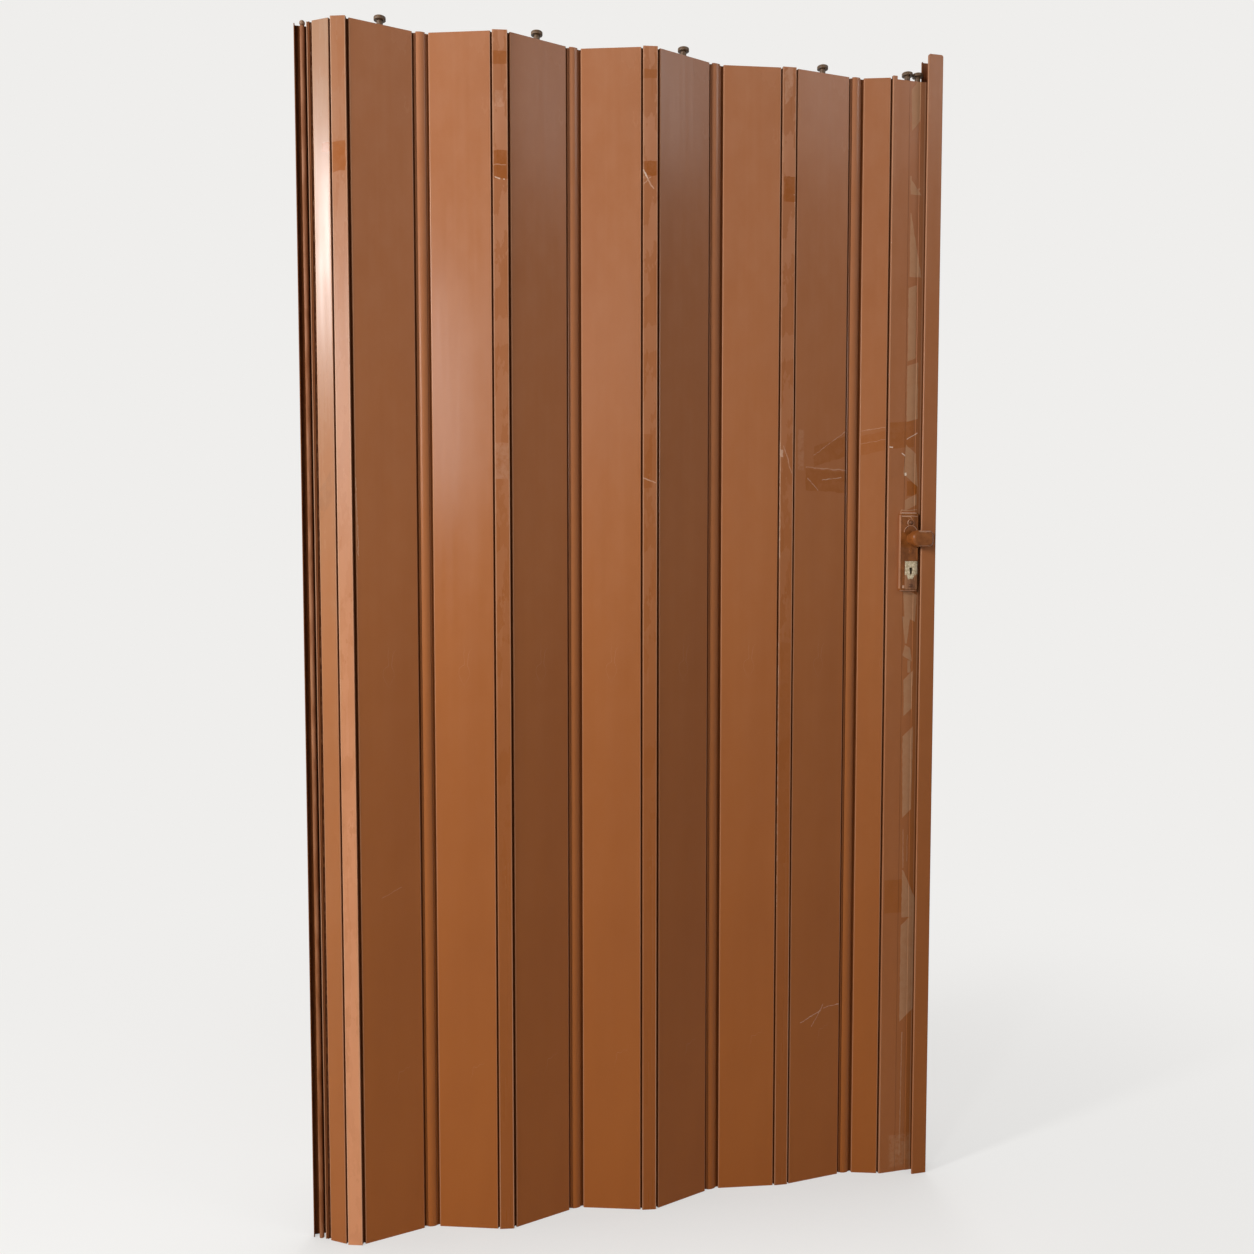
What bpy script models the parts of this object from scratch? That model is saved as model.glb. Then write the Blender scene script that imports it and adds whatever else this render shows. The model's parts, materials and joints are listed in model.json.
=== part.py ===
# Accordion door: hollow plastic panels joined by hinge strips, between a wall
# profile on the left and a strike jamb on the right. Metres, +Z up, +X along the
# closing direction, +Y away from the viewer. The floor is at z = 0.

import bpy
import bmesh
import math
from mathutils import Matrix, Vector

# Heights
PANEL_HEIGHT = 2.000
HINGE_HEIGHT = 2.0015
WALL_PROFILE_HEIGHT = 2.0005
JAMB_HEIGHT = 2.040
POST_HEIGHT = 2.0034
POST_FACE_HEIGHT = 1.9974

# Panels: hollow extrusions with a round bead on a thin neck along each long edge
FACE_WIDTH = 0.1017
STARTER_WIDTH = 0.0311
END_WIDTH = 0.0478
PANEL_THICKNESS = 0.0114
PANEL_CORNER = 0.0014
PANEL_WALL = 0.0012
PANEL_RIB = 0.0010
CELL_WIDTH = 0.0130
NECK_LENGTH = 0.0060
NECK_THICKNESS = 0.0016
BEAD_RADIUS = 0.00275

# Hinge strips: a flat cover plate with two open sockets behind it
AXIS_SPACING = 0.01695
AXIS_DEPTH = 0.0063
PLATE_HALF_WIDTH = 0.0124
PLATE_THICKNESS = 0.0016
SOCKET_INNER = 0.0030
SOCKET_OUTER = 0.0042
BACK_RISE = 0.0016
FOLD_LIMIT = 86.0
NECK_CLEARANCE_ANGLE = 21.5
SOCKET_FILLET = 0.0004
STRIP_CELL = (-0.0026, -0.0034, 0.0026, 0.0038)
STRIP_CELL_CORNER = 0.0012

# The chain from the wall profile to the lead post: piece, kind, and the angle of the
# piece to the closing direction as the door stands nearly closed, in degrees
CHAIN = (
    ("starter_panel", "starter", -32.5),
    ("ridge_hinge_1", "ridge", -17.0),
    ("panel_1", "panel", 13.0),
    ("valley_hinge_1", "valley", -2.0),
    ("panel_2", "panel", -17.5),
    ("ridge_hinge_2", "ridge", -9.0),
    ("panel_3", "panel", 16.5),
    ("valley_hinge_2", "valley", 7.0),
    ("panel_4", "panel", -17.0),
    ("ridge_hinge_3", "ridge", -8.5),
    ("panel_5", "panel", 18.0),
    ("valley_hinge_3", "valley", 8.0),
    ("panel_6", "panel", -8.0),
    ("ridge_hinge_4", "ridge", -4.0),
    ("panel_7", "panel", 5.5),
    ("valley_hinge_4", "valley", -1.5),
    ("end_panel", "end", -17.0),
    ("lead_post", "post", 0.0),
)
CARRIER_PANELS = ("panel_1", "panel_3", "panel_5", "panel_7")

# Wall profile, measured from the axis of its socket
WALL_WEB_X = -0.0260
WALL_THICKNESS = 0.0016
WALL_FRONT_Y = 0.0070
WALL_BACK_Y = 0.0165
PORT_X = -0.0126
PORT_Y = 0.0048
PORT_RADIUS = 0.0040
PORT_BORE = 0.0020
PORT_RIB = 0.0016
FLANGE_STEP = 0.0002
LIP_X = -0.0060
LIP_FRONT_Y = -0.0025
LIP_HEEL_Y = 0.0040
WALL_SOCKET_OPEN = (-107.5, 5.0)
BALL_RADIUS = 0.0045
BALL_STEM = 0.0100

# Lead post, measured from the axis of its socket
POST_RIGHT = 0.0654
POST_BOX_LEFT = 0.0092
POST_FRONT = -0.0058
POST_BACK = 0.0082
POST_WALL = 0.0016
POST_RIB_X = 0.0176
POST_CORNER = 0.0015
POST_SHOULDER_X = 0.0042
POST_FLUTE = (0.0280, 0.0492)
POST_FLUTE_DEPTH = 0.0005
POST_NOSE_Y = -0.0007
POST_RELIEF_X = 0.0030
POST_SOCKET_OPEN = (72.5, 190.0)

# Strike jamb, measured from the same axis
JAMB_LEFT = 0.0549
JAMB_REAR_LEFT = 0.0602
JAMB_REAR_LIP = 0.0046
JAMB_REAR_ROUND = 0.0020
JAMB_RIGHT = 0.0841
JAMB_FRONT = -0.0218
JAMB_BACK = 0.0157
JAMB_WALL = 0.0018
JAMB_LIP_RADIUS = 0.0016
JAMB_CORNER = 0.0012
JAMB_TOP_RADIUS = 0.0045

# Hangers
HANGER_HEAD_RADIUS = 0.0096
HANGER_RIM = 0.0046
HANGER_DOME = 0.0026
HANGER_EDGE = 0.0008
HANGER_UNDERCUT = 0.0006
HANGER_GAP = 0.0080
HANGER_COLLAR_RADIUS = 0.0050
HANGER_STEM_RADIUS = 0.0034
HANGER_STEM_LENGTH = 0.0250
PLUG_LENGTH = 0.0300
PLUG_DROP = 0.0010
PLUG_CORNER = 0.0008
POST_HANGER_X = (0.0262, 0.0461)
POST_HANGER_RISE = 0.0015

# Lock and handles, measured from the lead post's socket axis and from the floor
SPINDLE_X = 0.0394
SPINDLE_Z = 1.1860
SPINDLE_SIDE = 0.0070
SPINDLE_BORE_RADIUS = 0.0058
PLATE_LEFT = 0.0190
PLATE_RIGHT = 0.0546
PLATE_BOTTOM = 1.0910
PLATE_TOP = 1.2335
PLATE_DEPTH = 0.0064
PLATE_CORNER = 0.0045
PLATE_ROUND = 0.0016
KNOB_LEFT = -0.0117
KNOB_RIGHT = 0.0298
KNOB_HALF_HEIGHT = 0.0148
KNOB_CORNER = 0.0098
KNOB_FRONT_ROUND = 0.0050
KNOB_BACK_ROUND = 0.0030
KNOB_STANDOFF = 0.0100
KNOB_DEPTH = 0.0205
KNOB_HUB_RADIUS = 0.0117
KNOB_SOCKET_SHARE = 0.6
CASE_BOTTOM = 1.0940
CASE_TOP = 1.2320
CASE_PLAY = 0.0015
KEY_X = 0.0402
KEY_Z = 1.1310
KEY_FACE = (0.0288, 1.0938, 0.0529, 1.1455)
KEY_FACE_PROUD = 0.0006
KEY_FACE_CORNER = 0.0010
KEY_FACE_EDGE = 0.0004
KEY_BORE_RADIUS = 0.0075
KEY_ROUND_RADIUS = 0.0033
KEY_SLOT_WIDTH = 0.0046
KEY_SLOT_LENGTH = 0.0100
SCREW_Z = (1.2150, 1.1010)
SCREW_RADIUS = 0.0020
SCREW_HEAD_RADIUS = 0.0036
SCREW_HEAD_HEIGHT = 0.0014
SCREW_FLAT_SHARE = 0.6
SCREW_RIM = 0.0004
SCREW_SHORT = 0.0010
HOOK_THICKNESS = 0.0030
HOOK_HUB_RADIUS = 0.0095
HOOK_INNER = 0.0352
HOOK_OUTER = 0.0392
HOOK_ARM_WIDTH = 0.0070
HOOK_STOWED = -87.0
HOOK_HEEL = 4.0
HOOK_SWEEP = 26.0
HOOK_THROAT = 6.5
HOOK_PLAY = 0.0008
SLOT_BELOW = 0.0360
SLOT_ABOVE = 0.0100
KEEPER_BAR_RADIUS = 0.0020
KEEPER_BAR_PLAY = 0.0006
KEEPER_BAR_RISE = 0.0020
KEEPER_BASE = (-0.0110, -0.0260, 0.0090, 0.0280)
KEEPER_BASE_THICKNESS = 0.0018
KEEPER_CHEEK = 0.0016
KEEPER_CHEEK_HALF_HEIGHT = 0.0090
KEEPER_CHEEK_REACH = 0.0040
KEEPER_CHEEK_Y = (-0.0090, 0.0074)

GAP = 0.0003
CUT = 0.0100

PLASTIC_LIGHT = (0.50, 0.22, 0.11, 1.0)
PLASTIC_DARK = (0.34, 0.15, 0.075, 1.0)


def clear_scene():
    for item in list(bpy.data.objects):
        bpy.data.objects.remove(item, do_unlink=True)


def make_material(name, colour, roughness, metallic=0.0):
    material = bpy.data.materials.new(name)
    material.use_nodes = True
    shader = material.node_tree.nodes["Principled BSDF"]
    shader.inputs["Base Color"].default_value = colour
    shader.inputs["Roughness"].default_value = roughness
    shader.inputs["Metallic"].default_value = metallic
    material.diffuse_color = colour
    return material


def arc(centre_x, centre_y, radius, start, end, steps):
    points = []
    for step in range(steps + 1):
        angle = math.radians(start + (end - start) * step / steps)
        points.append((centre_x + radius * math.cos(angle), centre_y + radius * math.sin(angle)))
    return points


def rectangle(left, bottom, right, top):
    return [(left, bottom), (right, bottom), (right, top), (left, top)]


def round_rectangle(left, bottom, right, top, radius, steps=4):
    return (
        arc(left + radius, bottom + radius, radius, 180, 270, steps)
        + arc(right - radius, bottom + radius, radius, 270, 360, steps)
        + arc(right - radius, top - radius, radius, 0, 90, steps)
        + arc(left + radius, top - radius, radius, 90, 180, steps)
    )


# A flat outline with its holes, drawn as one filled curve and given its thickness,
# then turned into a mesh with the caps joined to the sides
def extrude_outline(name, loops, thickness):
    curve = bpy.data.curves.new(name, "CURVE")
    curve.dimensions = "2D"
    curve.fill_mode = "BOTH"
    curve.extrude = thickness / 2
    for loop in loops:
        spline = curve.splines.new("POLY")
        spline.points.add(len(loop) - 1)
        for point, (x, y) in zip(spline.points, loop):
            point.co = (x, y, 0.0, 1.0)
        spline.use_cyclic_u = True
    drawing = bpy.data.objects.new(name + "_drawing", curve)
    bpy.context.scene.collection.objects.link(drawing)
    return mesh_from_curve(drawing, name)


def mesh_from_curve(drawing, name):
    graph = bpy.context.evaluated_depsgraph_get()
    mesh = bpy.data.meshes.new_from_object(drawing.evaluated_get(graph))
    mesh.name = name
    work = bmesh.new()
    work.from_mesh(mesh)
    bmesh.ops.remove_doubles(work, verts=work.verts, dist=0.000001)
    bmesh.ops.recalc_face_normals(work, faces=work.faces)
    work.to_mesh(mesh)
    work.free()
    bpy.data.objects.remove(drawing, do_unlink=True)
    return mesh


def add_part(name, mesh, material, parent=None, location=(0.0, 0.0, 0.0), turn=0.0):
    part = bpy.data.objects.new(name, mesh)
    parts.objects.link(part)
    part.parent = parent
    part.location = location
    part.rotation_euler = (0.0, 0.0, turn)
    if not mesh.materials:
        mesh.materials.append(material)
    mesh.shade_smooth()
    mesh.set_sharp_from_angle(angle=math.radians(35))
    return part


def add_cutter(name, mesh, parent, location=(0.0, 0.0, 0.0)):
    cutter = bpy.data.objects.new(name, mesh)
    cutters.objects.link(cutter)
    cutter.parent = parent
    cutter.location = location
    cutter.hide_render = True
    cutter.display_type = "WIRE"
    return cutter


def combine(part, other, operation):
    change = part.modifiers.new(other.name, "BOOLEAN")
    change.operation = operation
    change.solver = "EXACT"
    change.object = other


# The large flat faces set the shading beside a cut
def even_shading():
    for part in parts.objects:
        if part.modifiers:
            part.modifiers.new("even_shading", "WEIGHTED_NORMAL").keep_sharp = True


def box_mesh(name, low, high):
    work = bmesh.new()
    bmesh.ops.create_cube(work, size=1.0)
    size = [top - bottom for bottom, top in zip(low, high)]
    middle = [(top + bottom) / 2 for bottom, top in zip(low, high)]
    bmesh.ops.scale(work, vec=size, verts=work.verts)
    bmesh.ops.translate(work, vec=middle, verts=work.verts)
    mesh = bpy.data.meshes.new(name)
    work.to_mesh(mesh)
    work.free()
    return mesh


# A cylinder between two points along Y or Z
def rod_mesh(name, start, end, radius, sides=24):
    start = Vector(start)
    end = Vector(end)
    work = bmesh.new()
    bmesh.ops.create_cone(work, cap_ends=True, segments=sides, radius1=radius,
                          radius2=radius, depth=(end - start).length)
    turn = (end - start).to_track_quat("Z", "Y").to_matrix().to_4x4()
    bmesh.ops.transform(work, matrix=Matrix.Translation((start + end) / 2) @ turn, verts=work.verts)
    mesh = bpy.data.meshes.new(name)
    work.to_mesh(mesh)
    work.free()
    return mesh


# A block rounded at its four corners seen along Y, and softened round its front and back
def soft_block_mesh(name, low, high, corner, front_round, back_round=0.0, steps=4):
    mesh = box_mesh(name, low, high)
    work = bmesh.new()
    work.from_mesh(mesh)
    along_y = [edge for edge in work.edges
               if abs(edge.verts[0].co.y - edge.verts[1].co.y) > 0.5 * (high[1] - low[1])]
    bmesh.ops.bevel(work, geom=along_y, offset=corner, segments=steps, profile=0.5,
                    affect="EDGES")
    for plane, radius in ((low[1], front_round), (high[1], back_round)):
        if radius > 0.0:
            rim = [edge for edge in work.edges
                   if all(abs(vert.co.y - plane) < 0.00001 for vert in edge.verts)]
            bmesh.ops.bevel(work, geom=rim, offset=radius, segments=3, profile=0.5,
                            affect="EDGES")
    work.to_mesh(mesh)
    work.free()
    return mesh


# Section of a panel: bead, neck, hollow body, neck, bead. The left bead is at the origin
def panel_section(width):
    half = PANEL_THICKNESS / 2
    near = NECK_LENGTH
    far = NECK_LENGTH + width
    pitch = 2 * NECK_LENGTH + width
    neck = NECK_THICKNESS / 2
    gape = math.degrees(math.asin(neck / BEAD_RADIUS))
    corner = PANEL_CORNER
    outline = [(near, neck)]
    outline += arc(0.0, 0.0, BEAD_RADIUS, gape, 360 - gape, 14)
    outline += [(near, -neck)]
    outline += arc(near + corner, -half + corner, corner, 180, 270, 3)
    outline += arc(far - corner, -half + corner, corner, 270, 360, 3)
    outline += [(far, -neck)]
    outline += arc(pitch, 0.0, BEAD_RADIUS, 180 + gape, 540 - gape, 14)
    outline += [(far, neck)]
    outline += arc(far - corner, half - corner, corner, 0, 90, 3)
    outline += arc(near + corner, half - corner, corner, 90, 180, 3)
    return [outline] + panel_cells(near, far)


def panel_cells(near, far):
    inside = far - near - 2 * PANEL_WALL
    count = max(1, round(inside / (CELL_WIDTH + PANEL_RIB)))
    cell = (inside - (count - 1) * PANEL_RIB) / count
    depth = PANEL_THICKNESS / 2 - PANEL_WALL
    cells = []
    for index in range(count):
        left = near + PANEL_WALL + index * (cell + PANEL_RIB)
        cells.append(rectangle(left, -depth, left + cell, depth))
    return cells


# Section of a hinge strip with its left axis at the origin. The flat cover plate is at
# -Y where facing is 1, and at +Y where facing is -1
def hinge_section(facing):
    middle = AXIS_SPACING / 2
    end_round = PLATE_THICKNESS / 2
    tip = PLATE_HALF_WIDTH - end_round
    plate_middle = -AXIS_DEPTH + end_round
    foot = SOCKET_OUTER * math.cos(math.radians(60))
    lip = -NECK_CLEARANCE_ANGLE
    back_lip = FOLD_LIMIT + NECK_CLEARANCE_ANGLE
    right = arc(tip, plate_middle, end_round, 270, 450, 4)
    right += [(middle + foot + SOCKET_FILLET, plate_middle + end_round)]
    right += arc(middle, 0.0, SOCKET_OUTER, -60, lip, 2)
    right += arc(middle, 0.0, SOCKET_INNER, lip, back_lip - 360, 12)
    start_x = middle + SOCKET_OUTER * math.cos(math.radians(back_lip))
    start_y = SOCKET_OUTER * math.sin(math.radians(back_lip))
    rise = (start_x ** 2 + BACK_RISE ** 2) / (2 * BACK_RISE)
    spread = math.degrees(math.asin(start_x / rise))
    back = arc(0.0, start_y + BACK_RISE - rise, rise, 90 - spread, 90 + spread, 8)
    left = [(-x, y) for x, y in reversed(right)]
    cell = round_rectangle(*STRIP_CELL, STRIP_CELL_CORNER, 2)
    loops = []
    for loop in (right + back + left, cell):
        loops.append([(x + middle, facing * y) for x, y in loop])
    return loops


def wall_profile_section():
    thick = WALL_THICKNESS
    back_inner = WALL_BACK_Y - thick
    rib = PORT_RIB / 2
    meet = math.degrees(math.asin(rib / PORT_RADIUS))
    outline = [(WALL_WEB_X, WALL_FRONT_Y), (WALL_WEB_X + thick, WALL_FRONT_Y)]
    outline += [(WALL_WEB_X + thick, back_inner), (PORT_X - rib, back_inner)]
    outline += arc(PORT_X, PORT_Y, PORT_RADIUS, 90 + meet, 450 - meet, 14)
    # Beside the socket the rear flange is a little thicker
    outline += [(PORT_X + rib, back_inner - FLANGE_STEP), (LIP_X, back_inner - FLANGE_STEP)]
    outline += [(LIP_X, LIP_FRONT_Y), (LIP_X + thick, LIP_FRONT_Y)]
    low_lip, high_lip = WALL_SOCKET_OPEN
    outline += arc(0.0, 0.0, SOCKET_OUTER, -160, low_lip, 3)
    outline += arc(0.0, 0.0, SOCKET_INNER, low_lip, high_lip - 360, 12)
    outline += arc(0.0, 0.0, SOCKET_OUTER, high_lip, 150, 6)
    outline += [(LIP_X + thick, LIP_HEEL_Y), (LIP_X + thick, WALL_BACK_Y), (WALL_WEB_X, WALL_BACK_Y)]
    bore = arc(PORT_X, PORT_Y, PORT_BORE, 0, 330, 11)
    return [outline, bore]


def post_section():
    wall = POST_WALL
    inner_front = POST_FRONT + wall
    corner = POST_CORNER
    left = -SOCKET_OUTER
    outline = [(left, POST_NOSE_Y), (left, POST_FRONT + corner)]
    outline += arc(left + corner, POST_FRONT + corner, corner, 190, 270, 3)
    flute_left, flute_right = POST_FLUTE
    flute_floor = POST_FRONT + POST_FLUTE_DEPTH
    outline += [(flute_left, POST_FRONT), (flute_left + POST_FLUTE_DEPTH, flute_floor)]
    outline += [(flute_right - POST_FLUTE_DEPTH, flute_floor), (flute_right, POST_FRONT)]
    outline += arc(POST_RIGHT - corner, POST_FRONT + corner, corner, 270, 360, 3)
    outline += arc(POST_RIGHT - corner, POST_BACK - corner, corner, 0, 90, 3)
    outline += arc(POST_BOX_LEFT + corner, POST_BACK - corner, corner, 90, 180, 3)
    outline += [(POST_BOX_LEFT, inner_front), (POST_RELIEF_X, inner_front)]
    rear_lip, front_lip = POST_SOCKET_OPEN
    outline += arc(0.0, 0.0, SOCKET_OUTER, -55, rear_lip, 6)
    outline += arc(0.0, 0.0, SOCKET_INNER, rear_lip, front_lip - 360, 12)
    small = rectangle(POST_BOX_LEFT + wall, inner_front, POST_RIB_X, POST_BACK - wall)
    large = rectangle(POST_RIB_X + wall, inner_front, POST_RIGHT - wall, POST_BACK - wall)
    return [outline, small, large]


def jamb_section():
    wall = JAMB_WALL
    corner = JAMB_CORNER
    lip = JAMB_LIP_RADIUS
    inner_front = JAMB_FRONT + wall
    meet = math.degrees(math.acos((wall - lip) / lip))
    outline = arc(JAMB_LEFT + lip, JAMB_FRONT + lip, lip, meet, 270, 8)
    outline += arc(JAMB_RIGHT - corner, JAMB_FRONT + corner, corner, 270, 360, 3)
    outline += arc(JAMB_RIGHT - corner, JAMB_BACK - corner, corner, 0, 90, 3)
    # The rear flange ends in a short lip turned forwards
    turn = JAMB_REAR_ROUND
    lip_end = JAMB_BACK - JAMB_REAR_LIP
    outline += arc(JAMB_REAR_LEFT + turn, JAMB_BACK - turn, turn, 90, 180, 4)
    outline += [(JAMB_REAR_LEFT, lip_end), (JAMB_REAR_LEFT + wall, lip_end)]
    outline += [(JAMB_REAR_LEFT + wall, JAMB_BACK - wall), (JAMB_RIGHT - wall, JAMB_BACK - wall)]
    outline += [(JAMB_RIGHT - wall, inner_front)]
    return [outline]


def build_chain():
    sections = {
        "starter": extrude_outline("starter_panel", panel_section(STARTER_WIDTH), PANEL_HEIGHT),
        "panel": extrude_outline("panel", panel_section(FACE_WIDTH), PANEL_HEIGHT),
        "end": extrude_outline("end_panel", panel_section(END_WIDTH), PANEL_HEIGHT),
        "ridge": extrude_outline("ridge_hinge", hinge_section(1), HINGE_HEIGHT),
        "valley": extrude_outline("valley_hinge", hinge_section(-1), HINGE_HEIGHT),
        "post": extrude_outline("lead_post", post_section(), POST_HEIGHT),
    }
    reach = {
        "starter": STARTER_WIDTH + 2 * NECK_LENGTH,
        "panel": FACE_WIDTH + 2 * NECK_LENGTH,
        "end": END_WIDTH + 2 * NECK_LENGTH,
        "ridge": AXIS_SPACING,
        "valley": AXIS_SPACING,
    }
    heights = {"ridge": HINGE_HEIGHT, "valley": HINGE_HEIGHT, "post": POST_HEIGHT}
    finish = {
        "starter": light_plastic,
        "panel": light_plastic,
        "end": light_plastic,
        "ridge": light_plastic,
        "valley": dark_plastic,
        "post": dark_plastic,
    }
    pieces = {}
    before = start
    before_angle = 0.0
    before_reach = 0.0
    before_middle = 0.0
    for name, kind, angle in CHAIN:
        middle = heights.get(kind, PANEL_HEIGHT) / 2
        turn = math.radians(angle - before_angle)
        place = (before_reach, 0.0, middle - before_middle)
        piece = add_part(name, sections[kind], finish[kind], before, place, turn)
        pieces[name] = piece
        before = piece
        before_angle = angle
        before_reach = reach.get(kind, 0.0)
        before_middle = middle
    return pieces


def build_wall_profile():
    mesh = extrude_outline("wall_profile", wall_profile_section(), WALL_PROFILE_HEIGHT)
    profile = add_part("wall_profile", mesh, dark_plastic, start,
                       (0.0, 0.0, WALL_PROFILE_HEIGHT / 2))
    # The rib's top end is cut back to make room for the ball stopper
    reach = BALL_RADIUS + GAP
    level = WALL_PROFILE_HEIGHT / 2
    room = box_mesh("stopper_room", (PORT_X - reach, PORT_Y - reach, level - reach),
                    (PORT_X + reach, PORT_Y + reach, level + CUT))
    combine(profile, add_cutter("stopper_room", room, profile), "DIFFERENCE")
    outline = []
    for angle in range(90, -61, -15):
        bend = math.radians(angle)
        outline.append((BALL_RADIUS * math.cos(bend), BALL_RADIUS * math.sin(bend)))
    stem = PORT_BORE - GAP
    outline[0] = (0.0, BALL_RADIUS)
    outline += [(stem, -BALL_RADIUS + GAP), (stem, -BALL_RADIUS - BALL_STEM)]
    outline += [(0.0, -BALL_RADIUS - BALL_STEM)]
    add_part("port_stopper", turned_mesh("port_stopper", outline, 20), dark_plastic, start,
             (PORT_X, PORT_Y, WALL_PROFILE_HEIGHT))


# A profile in the XZ plane, from its top at the axis down its outer side, turned about Z
def turned_mesh(name, profile, steps):
    mesh = bpy.data.meshes.new(name + "_profile")
    points = [(x, 0.0, z) for x, z in profile]
    mesh.from_pydata(points, [(i, i + 1) for i in range(len(points) - 1)], [])
    drawing = bpy.data.objects.new(name + "_drawing", mesh)
    bpy.context.scene.collection.objects.link(drawing)
    screw = drawing.modifiers.new("turn", "SCREW")
    screw.steps = steps
    screw.render_steps = steps
    screw.use_merge_vertices = True
    screw.merge_threshold = 0.00001
    return mesh_from_curve(drawing, name)


def build_strike_jamb(origin):
    frame = bpy.data.objects.new("jamb_frame", None)
    parts.objects.link(frame)
    frame.location = origin
    mesh = extrude_outline("strike_jamb", jamb_section(), JAMB_HEIGHT)
    jamb = add_part("strike_jamb", mesh, light_plastic, frame, (0.0, 0.0, JAMB_HEIGHT / 2))
    # The front flange has rounded upper corners
    middle = (JAMB_LEFT + JAMB_RIGHT) / 2
    half = (JAMB_RIGHT - JAMB_LEFT) / 2
    trim_loop = [(-half - CUT, CUT), (-half - CUT, -JAMB_TOP_RADIUS)]
    trim_loop += arc(-half + JAMB_TOP_RADIUS, -JAMB_TOP_RADIUS, JAMB_TOP_RADIUS, 180, 90, 5)
    trim_loop += arc(half - JAMB_TOP_RADIUS, -JAMB_TOP_RADIUS, JAMB_TOP_RADIUS, 90, 0, 5)
    trim_loop += [(half + CUT, -JAMB_TOP_RADIUS), (half + CUT, CUT)]
    trim = extrude_outline("flange_trim", [trim_loop], 2 * CUT)
    trim.transform(Matrix.Rotation(math.radians(90), 4, "X"))
    cutter = add_cutter("flange_trim", trim, frame, (middle, JAMB_FRONT, JAMB_HEIGHT))
    combine(jamb, cutter, "DIFFERENCE")
    return frame


def build_hangers(pieces):
    under = HANGER_GAP
    head = HANGER_HEAD_RADIUS
    dome = head - HANGER_EDGE
    rim = under + HANGER_RIM
    profile = [(0.0, rim + HANGER_DOME)]
    for step in range(1, 5):
        spread = step / 5
        profile.append((dome * spread, rim + HANGER_DOME * (1 - spread ** 2)))
    profile += [(dome, rim), (head, rim - HANGER_EDGE), (head, under + HANGER_UNDERCUT)]
    profile += [(head - HANGER_UNDERCUT, under), (HANGER_COLLAR_RADIUS, under)]
    profile += [(HANGER_COLLAR_RADIUS, GAP), (HANGER_STEM_RADIUS, GAP)]
    profile += [(HANGER_STEM_RADIUS, -HANGER_STEM_LENGTH), (0.0, -HANGER_STEM_LENGTH)]
    hanger = turned_mesh("hanger", profile, 24)
    bore = HANGER_STEM_RADIUS + GAP
    panel_top = PANEL_HEIGHT / 2
    places = []
    for name in CARRIER_PANELS:
        places.append((pieces[name], NECK_LENGTH + FACE_WIDTH / 2, 0.0, panel_top))
    post_y = (POST_FRONT + POST_BACK) / 2
    post_top = POST_FACE_HEIGHT - POST_HEIGHT / 2
    for x in POST_HANGER_X:
        places.append((pieces["lead_post"], x, post_y, post_top + POST_HANGER_RISE))
    cell = panel_cells(NECK_LENGTH, NECK_LENGTH + FACE_WIDTH)[3]
    half_width = (cell[1][0] - cell[0][0]) / 2 - GAP
    half_depth = cell[2][1] - GAP
    for number, (parent, x, y, top) in enumerate(places, start=1):
        add_part(f"hanger_{number}", hanger, hanger_plastic, parent, (x, y, top))
        if number <= len(CARRIER_PANELS):
            outline = round_rectangle(-half_width, -half_depth, half_width, half_depth,
                                      PLUG_CORNER, 1)
            hole = arc(0.0, 0.0, bore, 0, 345, 23)
            mesh = extrude_outline("panel_plug", [outline, hole], PLUG_LENGTH)
            add_part(f"panel_plug_{number}", mesh, plug_plastic, parent,
                     (x, y, top - PLUG_DROP - PLUG_LENGTH / 2))
    left = POST_RIB_X + POST_WALL + GAP
    right = POST_RIGHT - POST_WALL - GAP
    low = POST_FRONT + POST_WALL + GAP
    high = POST_BACK - POST_WALL - GAP
    loops = [round_rectangle(left, low, right, high, PLUG_CORNER, 1)]
    for x in POST_HANGER_X:
        loops.append(arc(x, post_y, bore, 0, 345, 23))
    mesh = extrude_outline("post_plug", loops, PLUG_LENGTH)
    add_part("post_plug", mesh, plug_plastic, pieces["lead_post"],
             (0.0, 0.0, post_top - PLUG_DROP - PLUG_LENGTH / 2))


def build_post_cuts(post):
    drop = POST_HEIGHT / 2
    shoulder = box_mesh("shoulder_cut", (POST_SHOULDER_X, POST_FRONT - CUT, POST_FACE_HEIGHT - drop),
                        (POST_RIGHT + CUT, POST_BACK + CUT, POST_HEIGHT - drop + CUT))
    combine(post, add_cutter("shoulder_cut", shoulder, post), "DIFFERENCE")
    level = SPINDLE_Z - drop
    middle_y = (POST_FRONT + POST_BACK) / 2
    slot_half = HOOK_THICKNESS / 2 + HOOK_PLAY
    slot = box_mesh("latch_slot",
                    (POST_RIGHT - POST_WALL - CUT / 4, middle_y - slot_half, level - SLOT_BELOW),
                    (POST_RIGHT + CUT, middle_y + slot_half, level + SLOT_ABOVE))
    combine(post, add_cutter("latch_slot", slot, post), "DIFFERENCE")
    spindle = rod_mesh("spindle_cut", (SPINDLE_X, POST_FRONT - CUT, level),
                       (SPINDLE_X, POST_BACK + CUT, level), SPINDLE_BORE_RADIUS)
    combine(post, add_cutter("spindle_cut", spindle, post), "DIFFERENCE")
    key = rod_mesh("key_cut", (KEY_X, POST_FRONT - CUT, KEY_Z - drop),
                   (KEY_X, middle_y, KEY_Z - drop), KEY_BORE_RADIUS)
    combine(post, add_cutter("key_cut", key, post), "DIFFERENCE")
    for z in SCREW_Z:
        cut_screw_hole(post, z, POST_FRONT, POST_BACK)


def cut_screw_hole(part, z, low_y, high_y):
    holder = part if part.name == "lead_post" else part.parent
    level = z - POST_HEIGHT / 2
    hole = rod_mesh(part.name + "_hole", (SPINDLE_X, low_y - CUT, level),
                    (SPINDLE_X, high_y + CUT, level), SCREW_RADIUS + GAP, 16)
    combine(part, add_cutter(part.name + "_hole", hole, holder), "DIFFERENCE")


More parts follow.
